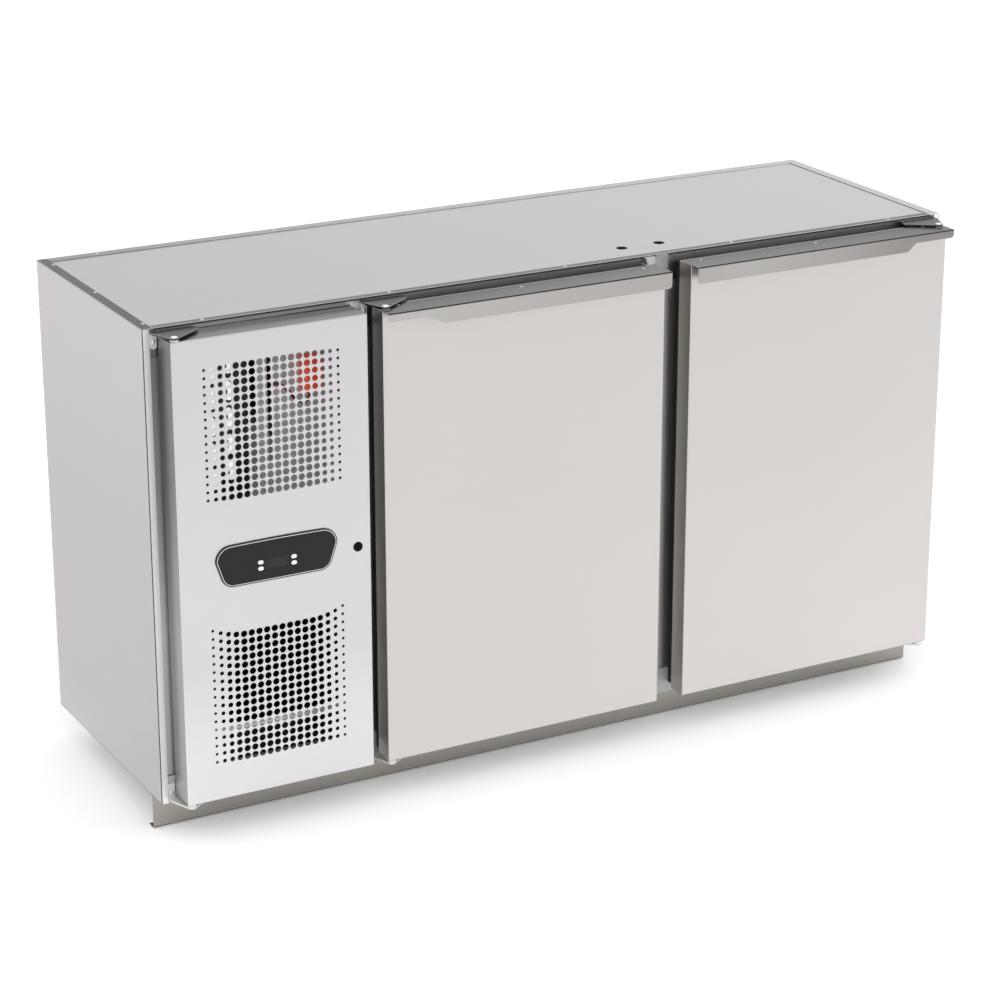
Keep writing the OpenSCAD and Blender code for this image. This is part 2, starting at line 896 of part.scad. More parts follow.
// Discharge, liquid and suction lines, with the filter drier in the liquid line
module refrigerant_pipes() {
    back_y = 425;
    line_r = 4;
    comp_x = x_left + 180;
    drier_x = bay_x1 - 40;
    low_z = tray_z + 90;
    color([0.72, 0.43, 0.28]) {
        piped([[comp_x - 30, 337, low_z], [comp_x - 30, back_y, low_z],
            [comp_x - 30, back_y, condenser_z1 - 40], [condenser_x0 + 18, back_y, condenser_z1 - 40],
            [condenser_x0 + 18, condenser_y1, condenser_z1 - 40]], line_r);
        piped([[condenser_x1 - 18, condenser_y1, condenser_z0 + 30],
            [condenser_x1 - 18, back_y - 12, condenser_z0 + 30],
            [drier_x, back_y - 12, condenser_z0 + 30],
            [drier_x, back_y - 12, condenser_z0 + 60]], line_r);
        translate([drier_x, back_y - 12, condenser_z0 + 60])
            cylinder(h = 110, r = 11);
        piped([[comp_x + 30, 337, low_z], [comp_x + 30, suction_y + 30, low_z],
            [bay_x1 - 20, suction_y + 30, low_z], [bay_x1 - 20, suction_y + 30, suction_z],
            [bay_x1 - 20, suction_y, suction_z], [cold_x0 + 20, suction_y, suction_z],
            [cold_x0 + 20, evap_y1 - 30, suction_z]], suction_r);
    }
}

// Gland in the back sheet where the mains lead would enter
module mains_gland() {
    color([0.1, 0.1, 0.1])
        translate([x_left + 170, cab_d, z_base + 70])
            rotate([90, 0, 0])
                difference() {
                    union() {
                        translate([0, 0, -4])
                            cylinder(h = 4, r = 13);
                        cylinder(h = 14, r = 7.9);
                    }
                    translate([0, 0, -5])
                        cylinder(h = 24, r = 4.5);
                }
}

// ---- Machine panel ----

// Hole diameter by column: the holes shrink over the outer columns of a field
function graded_d(column) =
    let (steps = min(column, hole_columns - 1 - column, grade_columns))
    hole_d - (hole_d - hole_d_edge) * pow(1 - steps / grade_columns, hole_grading);

// Extra height of a column in the lower field, whose top edge dips around the fascia
function column_rise(column) =
    let (steps = min(column, hole_columns - 1 - column))
    field_rise * pow(max(0, field_curve_columns - 0.5 - steps), 2);

// One field of holes whose bottom row stands at height z; curved is 1 or 0
module perforation_2d(z, curved) {
    row_pitch = hole_pitch - 0.1;
    for (column = [0 : hole_columns - 1]) {
        x = panel_cx + (column - (hole_columns - 1) / 2) * hole_pitch;
        stretch = 1 + curved * column_rise(column) / (row_pitch * (hole_rows - 1));
        for (row = [0 : hole_rows - 1]) {
            translate([x, z + row * row_pitch * stretch])
                circle(d = graded_d(column), $fn = 20);
        }
    }
}

// Folded panel, perforated above and below the control fascia
module machine_panel() {
    x0 = machine_x;
    x1 = machine_x + machine_w;
    back_y = -3;
    color([0.87, 0.86, 0.87]) {
        translate([0, face_y + sheet_t, 0])
            rotate([90, 0, 0])
                linear_extrude(sheet_t)
                    difference() {
                        translate([x0, door_z0])
                            square([machine_w, door_z1 - door_z0]);
                        perforation_2d(upper_field_z, 0);
                        perforation_2d(lower_field_z, 1);
                        translate([panel_cx - window_w / 2, control_z - window_h / 2])
                            square([window_w, window_h]);
                        translate([lock_x, control_z])
                            circle(r = lock_r);
                    }
        difference() {
            span(x0, x1, face_y + sheet_t, back_y, door_z0, door_z1);
            span(x0 + sheet_t, x1 - sheet_t, face_y, back_y + 1, door_z0 + sheet_t, door_z1 - sheet_t);
            translate([machine_x + pivot_edge, pivot_y, door_z0 - 10])
                cylinder(h = door_z1 - door_z0 + 20, r = bush_r);
        }
    }
}

module machine_panel_bushes() {
    color([0.78, 0.78, 0.77])
        handed(machine_x + pivot_edge, 1)
            hinge_bushes(door_z1);
}

// Right half of the fascia's outline, about its centre, as points along its rounded corners
function fascia_half() =
    let (
        half_w = fascia_w / 2,
        top_r = 26,
        foot_r = 22,
        foot_x = half_w - 8.5,
        arch = 1,
        top_z = fascia_h / 2 - arch,
        steps = 6
    )
    concat(
        [for (i = [0 : 5]) [(half_w - top_r) * i / 5, fascia_h / 2 - arch * pow(i / 5, 2)]],
        [for (i = [1 : steps]) [
            half_w - top_r + top_r * sin(i * 90 / steps),
            top_z - top_r + top_r * cos(i * 90 / steps)
        ]],
        [for (i = [0 : steps]) [
            foot_x - foot_r + foot_r * cos(15 + i * 75 / steps),
            -fascia_h / 2 + foot_r - foot_r * sin(15 + i * 75 / steps)
        ]]
    );

module fascia_2d() {
    half = fascia_half();
    count = len(half);
    polygon(concat(half, [for (i = [count - 1 : -1 : 1]) [-half[i][0], half[i][1]]]));
}

// Oval outline of a button, grown by extra on all sides
module button_2d(extra) {
    end_r = button_h / 2 + extra;
    for (side = [-1, 1]) {
        translate([side * (button_w - button_h) / 2, 0])
            circle(r = end_r);
    }
    square([button_w - button_h, 2 * end_r], center = true);
}

// Places its children on the front of the fascia's plane at x, z, with their Z axis to the front
module on_face(x, y, z) {
    translate([x, y, z])
        rotate([90, 0, 0])
            children();
}

module control_fascia() {
    color([0.2, 0.2, 0.21])
        on_face(panel_cx, face_y, fascia_z)
            linear_extrude(fascia_t)
                difference() {
                    fascia_2d();
                    translate([0, control_z - fascia_z])
                        square([display_w + 0.4, display_h + 0.4], center = true);
                    for (side = [-1, 1]) {
                        for (level = [-1, 1]) {
                            translate([side * button_x, control_z - fascia_z + level * button_dz])
                                button_2d(0.35);
                        }
                    }
                }
}

module control_display() {
    color([0.05, 0.05, 0.06])
        on_face(panel_cx, face_y + sheet_t, control_z)
            translate([-display_w / 2, -display_h / 2, 0])
                cube([display_w, display_h, fascia_t + sheet_t - 0.5]);
}

module controller_body() {
    front_y = face_y + sheet_t;
    color([0.12, 0.12, 0.13])
        difference() {
            span(panel_cx - window_w / 2 - 3, panel_cx + window_w / 2 + 3, front_y, -12,
                control_z - window_h / 2 - 3, control_z + window_h / 2 + 3);
            for (side = [-1, 1]) {
                span(panel_cx + side * button_x - 7, panel_cx + side * button_x + 7,
                    front_y - 1, front_y + 3, control_z - 11, control_z + 11);
            }
        }
}

// One push button with its retaining collar, at column side and row level
module button(side, level) {
    color([0.9, 0.9, 0.88])
        on_face(panel_cx + side * button_x, face_y, control_z + level * button_dz) {
            linear_extrude(fascia_t + button_travel + 0.3)
                button_2d(0);
            translate([0, 0, -1.4])
                linear_extrude(1.2)
                    square([button_w + 2.6, button_h + 3.2], center = true);
            translate([0, 0, -0.3])
                linear_extrude(0.4)
                    button_2d(0);
        }
}

module button_upper_left() {
    button(-1, 1);
}

module button_lower_left() {
    button(-1, -1);
}

module button_upper_right() {
    button(1, 1);
}

module button_lower_right() {
    button(1, -1);
}

// Housing of the panel lock, clamped in the panel by its nut
module lock_barrel() {
    color([0.06, 0.06, 0.06])
        difference() {
            union() {
                rod_y(lock_x, face_y - 0.8, control_z, lock_r, 24);
                rod_y(lock_x, face_y + sheet_t, control_z, 12, 4);
            }
            rod_y(lock_x, face_y - 2, control_z, plug_r + 0.05, 30);
        }
}

// Key plug with its keyway, shaft and latch arm; it points down when the panel is unlocked
module lock_cam() {
    arm_t = 2;
    arm_y = 4.5;
    arm_r = 6;
    plug_back = face_y + 24;
    color([0.05, 0.05, 0.05])
        difference() {
            union() {
                rod_y(lock_x, face_y - 0.6, control_z, plug_r, 24.6);
                rod_y(lock_x, plug_back, control_z, 7, 2);
                rod_y(lock_x, plug_back, control_z, 3, arm_y + arm_t - plug_back);
                rod_y(lock_x, arm_y, control_z, arm_r, arm_t);
                span(lock_x - arm_r, lock_x + arm_r, arm_y, arm_y + arm_t,
                    control_z - cam_length, control_z);
            }
            span(lock_x - 1, lock_x + 1, face_y - 2, face_y + 8, control_z - 3.5, control_z + 3.5);
        }
}

// ---- Doors ----

// Folded outer pan of a door from x, with the pivot holes at pivot_x
module door_skin(x, pivot_x) {
    color([0.85, 0.83, 0.81])
        difference() {
            span(x, x + door_w, face_y, door_back_y, door_z0, door_z1);
            span(x + sheet_t, x + door_w - sheet_t, face_y + sheet_t, door_back_y + 1,
                door_z0 + sheet_t, door_z1 - sheet_t);
            translate([pivot_x, pivot_y, door_z0 - 1])
                cylinder(h = bush_depth + 1, r = bush_r);
            translate([pivot_x, pivot_y, door_z1 - bush_depth])
                cylinder(h = bush_depth + 1, r = bush_r);
        }
}

// Foam-filled inner door, with the moulded liner as its back face
module door_core(x, pivot_x) {
    panel_inset = 34;
    panel_h = 5;
    color([0.92, 0.92, 0.93])
        difference() {
            union() {
                span(x + sheet_t, x + door_w - sheet_t, face_y + sheet_t, door_back_y,
                    door_z0 + sheet_t, door_z1 - sheet_t);
                span(x + panel_inset, x + door_w - panel_inset, door_back_y, door_back_y + panel_h,
                    door_z0 + panel_inset, door_z1 - panel_inset);
            }
            translate([pivot_x, pivot_y, door_z0])
                cylinder(h = bush_depth, r = bush_r);
            translate([pivot_x, pivot_y, door_z1 - bush_depth])
                cylinder(h = bush_depth, r = bush_r);
        }
}

// Magnetic gasket around the back of a door
module door_gasket(x) {
    inset = 4;
    seal_y = rail_y - 0.6;
    color([0.08, 0.08, 0.08])
        difference() {
            span(x + inset, x + door_w - inset, door_back_y, seal_y, door_z0 + inset, door_z1 - inset);
            span(x + inset + gasket_w, x + door_w - inset - gasket_w, door_back_y - 1, seal_y + 1,
                door_z0 + inset + gasket_w, door_z1 - inset - gasket_w);
        }
}

// Outline of the handle lip for a door hinged at its left, from the door's top left corner;
// the lip is shallow near the hinge and swings down to its full depth along a half wave
function lip_outline() =
    let (steps = 10, corner_steps = 5)
    concat(
        [[0, handle_t], [0, -lip_shallow + lip_corner]],
        [for (i = [1 : corner_steps]) [
            lip_corner - lip_corner * cos(i * 90 / corner_steps),
            -lip_shallow + lip_corner - lip_corner * sin(i * 90 / corner_steps)
        ]],
        [for (i = [0 : steps]) [
            lip_step_x + lip_step_w * i / steps,
            -lip_shallow - (lip_deep - lip_shallow) * (1 - cos(i * 180 / steps)) / 2
        ]],
        [for (i = [0 : corner_steps]) [
            door_w - lip_corner + lip_corner * sin(i * 90 / corner_steps),
            -lip_deep + lip_corner - lip_corner * cos(i * 90 / corner_steps)
        ]],
        [[door_w, handle_t]]
    );

// Folded handle strip: a flat top fixed to the door's top edge, and the lip in front
module handle_strip() {
    translate([0, lip_y + handle_t, door_z1])
        rotate([90, 0, 0])
            linear_extrude(handle_t)
                polygon(lip_outline());
    difference() {
        span(0, door_w, lip_y, face_y + handle_back, door_z1, door_z1 + handle_t);
        translate([pivot_edge, pivot_y, door_z1 - 1])
            cylinder(h = handle_t + 2, r = bush_r);
    }
}

// Bushes of a door and the three screws of its handle, for a door hinged at its left
module door_fittings() {
    translate([pivot_edge, 0, 0])
        hinge_bushes(door_z1 + handle_t);
    for (x = [36, door_w / 2, door_w - 30]) {
        translate([x, face_y + 19, door_z1 + handle_t])
            rivet_head(3, 0.6);
    }
}

module door_left_skin() {
    door_skin(left_x, left_x + pivot_edge);
}

module door_left_core() {
    door_core(left_x, left_x + pivot_edge);
}

module door_left_gasket() {
    door_gasket(left_x);
}

module door_left_handle() {
    color([0.66, 0.65, 0.63])
        handed(left_x, 1)
            handle_strip();
}

module door_left_fittings() {
    color([0.8, 0.8, 0.8])
        handed(left_x, 1)
            door_fittings();
}

module door_right_skin() {
    door_skin(right_x, right_x + door_w - pivot_edge);
}

module door_right_core() {
    door_core(right_x, right_x + door_w - pivot_edge);
}

module door_right_gasket() {
    door_gasket(right_x);
}

module door_right_handle() {
    color([0.66, 0.65, 0.63])
        handed(right_x + door_w, -1)
            handle_strip();
}

module door_right_fittings() {
    color([0.8, 0.8, 0.8])
        handed(right_x + door_w, -1)
            door_fittings();
}

in_frame() side_panel_left();
in_frame() side_panel_right();
in_frame() back_panel();
in_frame() top_panel();
in_frame() base_panel();
in_frame() front_top_rail();
in_frame() front_bottom_rail();
in_frame() front_posts();
in_frame() centre_mullion();
in_frame() insulation_top();
in_frame() insulation_base();
in_frame() insulation_back();
in_frame() insulation_divider();
in_frame() insulation_right();
in_frame() inner_liner();
in_frame() line_sleeves();
in_frame() plinth();
in_frame() levelling_feet();
in_frame() hinge_brackets();
in_frame() rivets_and_screws();
in_frame() shelf_supports();
in_frame() shelf_left_low();
in_frame() shelf_left_high();
in_frame() shelf_right_low();
in_frame() shelf_right_high();
in_frame() evaporator_coil();
in_frame() evaporator_housing();
in_frame() evaporator_fan();
in_frame() machine_tray();
in_frame() unit_shelf();
in_frame() compressor();
in_frame() condenser_coil();
in_frame() condenser_fan_mount();
in_frame() condenser_fan();
in_frame() component_plate();
in_frame() junction_box();
in_frame() junction_box_lead();
in_frame() refrigerant_pipes();
in_frame() mains_gland();
in_frame() machine_panel();
in_frame() machine_panel_bushes();
in_frame() control_fascia();
in_frame() control_display();
in_frame() controller_body();
in_frame() button_upper_left();
in_frame() button_lower_left();
in_frame() button_upper_right();
in_frame() button_lower_right();
in_frame() lock_barrel();
in_frame() lock_cam();
in_frame() door_left_skin();
in_frame() door_left_core();
in_frame() door_left_gasket();
in_frame() door_left_handle();
in_frame() door_left_fittings();
in_frame() door_right_skin();
in_frame() door_right_core();
in_frame() door_right_gasket();
in_frame() door_right_handle();
in_frame() door_right_fittings();
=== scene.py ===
import math

import bmesh
import bpy
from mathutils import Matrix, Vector
from mathutils.geometry import delaunay_2d_cdt


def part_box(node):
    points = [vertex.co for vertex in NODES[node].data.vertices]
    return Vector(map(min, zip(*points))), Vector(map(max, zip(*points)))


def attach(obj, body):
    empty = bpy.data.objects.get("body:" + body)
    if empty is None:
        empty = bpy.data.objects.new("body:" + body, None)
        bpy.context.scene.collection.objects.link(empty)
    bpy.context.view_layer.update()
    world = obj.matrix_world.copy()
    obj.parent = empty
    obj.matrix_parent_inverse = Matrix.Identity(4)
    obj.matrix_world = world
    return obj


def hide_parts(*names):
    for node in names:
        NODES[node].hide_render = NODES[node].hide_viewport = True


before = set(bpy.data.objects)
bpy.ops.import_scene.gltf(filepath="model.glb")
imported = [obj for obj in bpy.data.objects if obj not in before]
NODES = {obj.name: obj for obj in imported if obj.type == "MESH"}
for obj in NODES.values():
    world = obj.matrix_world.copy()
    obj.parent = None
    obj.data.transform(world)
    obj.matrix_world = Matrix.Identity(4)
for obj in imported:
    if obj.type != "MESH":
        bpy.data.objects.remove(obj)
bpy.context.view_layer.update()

SHEET = 0.0012
CABINET = "cabinet"
PANEL = "machine_panel_door"


# ---- Materials ----

NOISE_SPAN = (0.3, 0.7)
GRAIN_STRETCH = {"x": (0.012, 1, 1), "y": (1, 0.012, 1), "z": (1, 1, 0.012)}
GRAIN_DEPTH = 0.00002
SMUDGE = 0.02


def _nodes(name):
    """A new node material: its tree, its Principled shader and object coordinates."""
    mat = bpy.data.materials.new(name)
    mat.use_nodes = True
    tree = mat.node_tree
    shader = tree.nodes["Principled BSDF"]
    coords = tree.nodes.new("ShaderNodeTexCoord")
    return mat, tree, shader, coords.outputs["Object"]


def _noise(tree, vector, scale, stretch=(1, 1, 1), detail=3.0, rough=0.55):
    """Noise whose pattern is stretched along the axes with small stretch numbers."""
    mapping = tree.nodes.new("ShaderNodeMapping")
    mapping.inputs["Scale"].default_value = stretch
    tree.links.new(vector, mapping.inputs["Vector"])
    noise = tree.nodes.new("ShaderNodeTexNoise")
    noise.inputs["Scale"].default_value = scale
    noise.inputs["Detail"].default_value = detail
    noise.inputs["Roughness"].default_value = rough
    tree.links.new(mapping.outputs["Vector"], noise.inputs["Vector"])
    return noise.outputs["Fac"]


def _range(tree, value, low, high, src=NOISE_SPAN):
    """Maps a value in src to low..high."""
    node = tree.nodes.new("ShaderNodeMapRange")
    node.inputs["From Min"].default_value = src[0]
    node.inputs["From Max"].default_value = src[1]
    node.inputs["To Min"].default_value = low
    node.inputs["To Max"].default_value = high
    tree.links.new(value, node.inputs["Value"])
    return node.outputs["Result"]


def _tint(tree, value, dark, light, src=NOISE_SPAN):
    """Maps a value in src to a colour between dark and light."""
    ramp = tree.nodes.new("ShaderNodeValToRGB")
    ramp.color_ramp.elements[0].position = src[0]
    ramp.color_ramp.elements[1].position = src[1]
    ramp.color_ramp.elements[0].color = (*dark, 1)
    ramp.color_ramp.elements[1].color = (*light, 1)
    tree.links.new(value, ramp.inputs["Fac"])
    return ramp.outputs["Color"]


def _bump(tree, shader, value, distance):
    """Gives the shader a relief of this height."""
    node = tree.nodes.new("ShaderNodeBump")
    node.inputs["Distance"].default_value = distance
    tree.links.new(value, node.inputs["Height"])
    tree.links.new(node.outputs["Normal"], shader.inputs["Normal"])


def _scaled(colour, k):
    """A colour made lighter or darker."""
    return tuple(min(1.0, c * k) for c in colour)


def _painted_shade(tree, coords, colour, axis, stops):
    """Multiplies a colour by grey levels given as (position, level) along an axis of the part:
    painted light and shade.
    """
    split = tree.nodes.new("ShaderNodeSeparateXYZ")
    tree.links.new(coords, split.inputs["Vector"])
    first, last = stops[0][0], stops[-1][0]
    along = _range(tree, split.outputs[axis], 0, 1, (first, last))
    ramp = tree.nodes.new("ShaderNodeValToRGB")
    elements = ramp.color_ramp.elements
    while len(elements) < len(stops):
        elements.new(0.5)
    for element, (place, level) in zip(elements, stops):
        element.position = (place - first) / (last - first)
        element.color = (level, level, level, 1)
    tree.links.new(along, ramp.inputs["Fac"])
    mix = tree.nodes.new("ShaderNodeMix")
    mix.data_type = "RGBA"
    mix.blend_type = "MULTIPLY"
    mix.inputs["Factor"].default_value = 1.0
    tree.links.new(colour, mix.inputs[6])
    tree.links.new(ramp.outputs["Color"], mix.inputs[7])
    return mix.outputs[2]


def steel(name, colour, rough, grain, painted_shading=()):
    """Brushed sheet: fine grain along one axis, soft smudges over it, and its ramps of painted
    light and shade.
    """
    mat, tree, shader, coords = _nodes(name)
    fine = _noise(tree, coords, 1500, GRAIN_STRETCH[grain], detail=4)
    smudge = _noise(tree, coords, 2.6, detail=4, rough=0.5)
    shader.inputs["Metallic"].default_value = 1.0
    tone = _tint(tree, smudge, _scaled(colour, 1 - SMUDGE), _scaled(colour, 1 + SMUDGE))
    for axis, stops in painted_shading:
        tone = _painted_shade(tree, coords, tone, axis, stops)
    tree.links.new(tone, shader.inputs["Base Color"])
    add = tree.nodes.new("ShaderNodeMath")
    add.operation = "ADD"
    tree.links.new(_range(tree, fine, rough - 0.05, rough + 0.05), add.inputs[0])
    tree.links.new(_range(tree, smudge, -0.025, 0.025), add.inputs[1])
    tree.links.new(add.outputs[0], shader.inputs["Roughness"])
    _bump(tree, shader, fine, GRAIN_DEPTH)
    return mat


def painted(name, colour, rough, peel, spread, metallic=0.0, scale=260, glow=0.0):
    """Coated or moulded surface: a fine peel, and slight variation of colour and gloss; glow makes
    it give off its own colour, which on the parts of the fridge is painted light.
    """
    mat, tree, shader, coords = _nodes(name)
    fine = _noise(tree, coords, scale, detail=3)
    broad = _noise(tree, coords, 9, detail=4)
    shader.inputs["Metallic"].default_value = metallic
    tree.links.new(
        _tint(tree, broad, _scaled(colour, 1 - spread), _scaled(colour, 1 + spread)),
        shader.inputs["Base Color"])
    tree.links.new(_range(tree, broad, rough - 0.05, rough + 0.05), shader.inputs["Roughness"])
    if glow:
        shader.inputs["Emission Color"].default_value = (*colour, 1)
        shader.inputs["Emission Strength"].default_value = glow
    _bump(tree, shader, fine, peel)
    return mat


def galvanised(name, colour, painted_shading=()):
    """Zinc coat with its crystal pattern, and its ramps of painted light and shade."""
    mat, tree, shader, coords = _nodes(name)
    cells = tree.nodes.new("ShaderNodeTexVoronoi")
    cells.inputs["Scale"].default_value = 110
    tree.links.new(coords, cells.inputs["Vector"])
    grey = tree.nodes.new("ShaderNodeSeparateColor")
    tree.links.new(cells.outputs["Color"], grey.inputs["Color"])
    value = grey.outputs["Red"]
    shader.inputs["Metallic"].default_value = 1.0
    tone = _tint(tree, value, _scaled(colour, 0.86), _scaled(colour, 1.1), (0, 1))
    for axis, stops in painted_shading:
        tone = _painted_shade(tree, coords, tone, axis, stops)
    tree.links.new(tone, shader.inputs["Base Color"])
    tree.links.new(_range(tree, value, 0.34, 0.50, (0, 1)), shader.inputs["Roughness"])
    _bump(tree, shader, _noise(tree, coords, 300), 0.00002)
    return mat


def foam(name, colour):
    """Cut insulation with open pores."""
    mat, tree, shader, coords = _nodes(name)
    fine = _noise(tree, coords, 420, detail=6)
    tree.links.new(_tint(tree, fine, _scaled(colour, 0.75), colour), shader.inputs["Base Color"])
    shader.inputs["Roughness"].default_value = 0.9
    _bump(tree, shader, fine, 0.0006)
    return mat


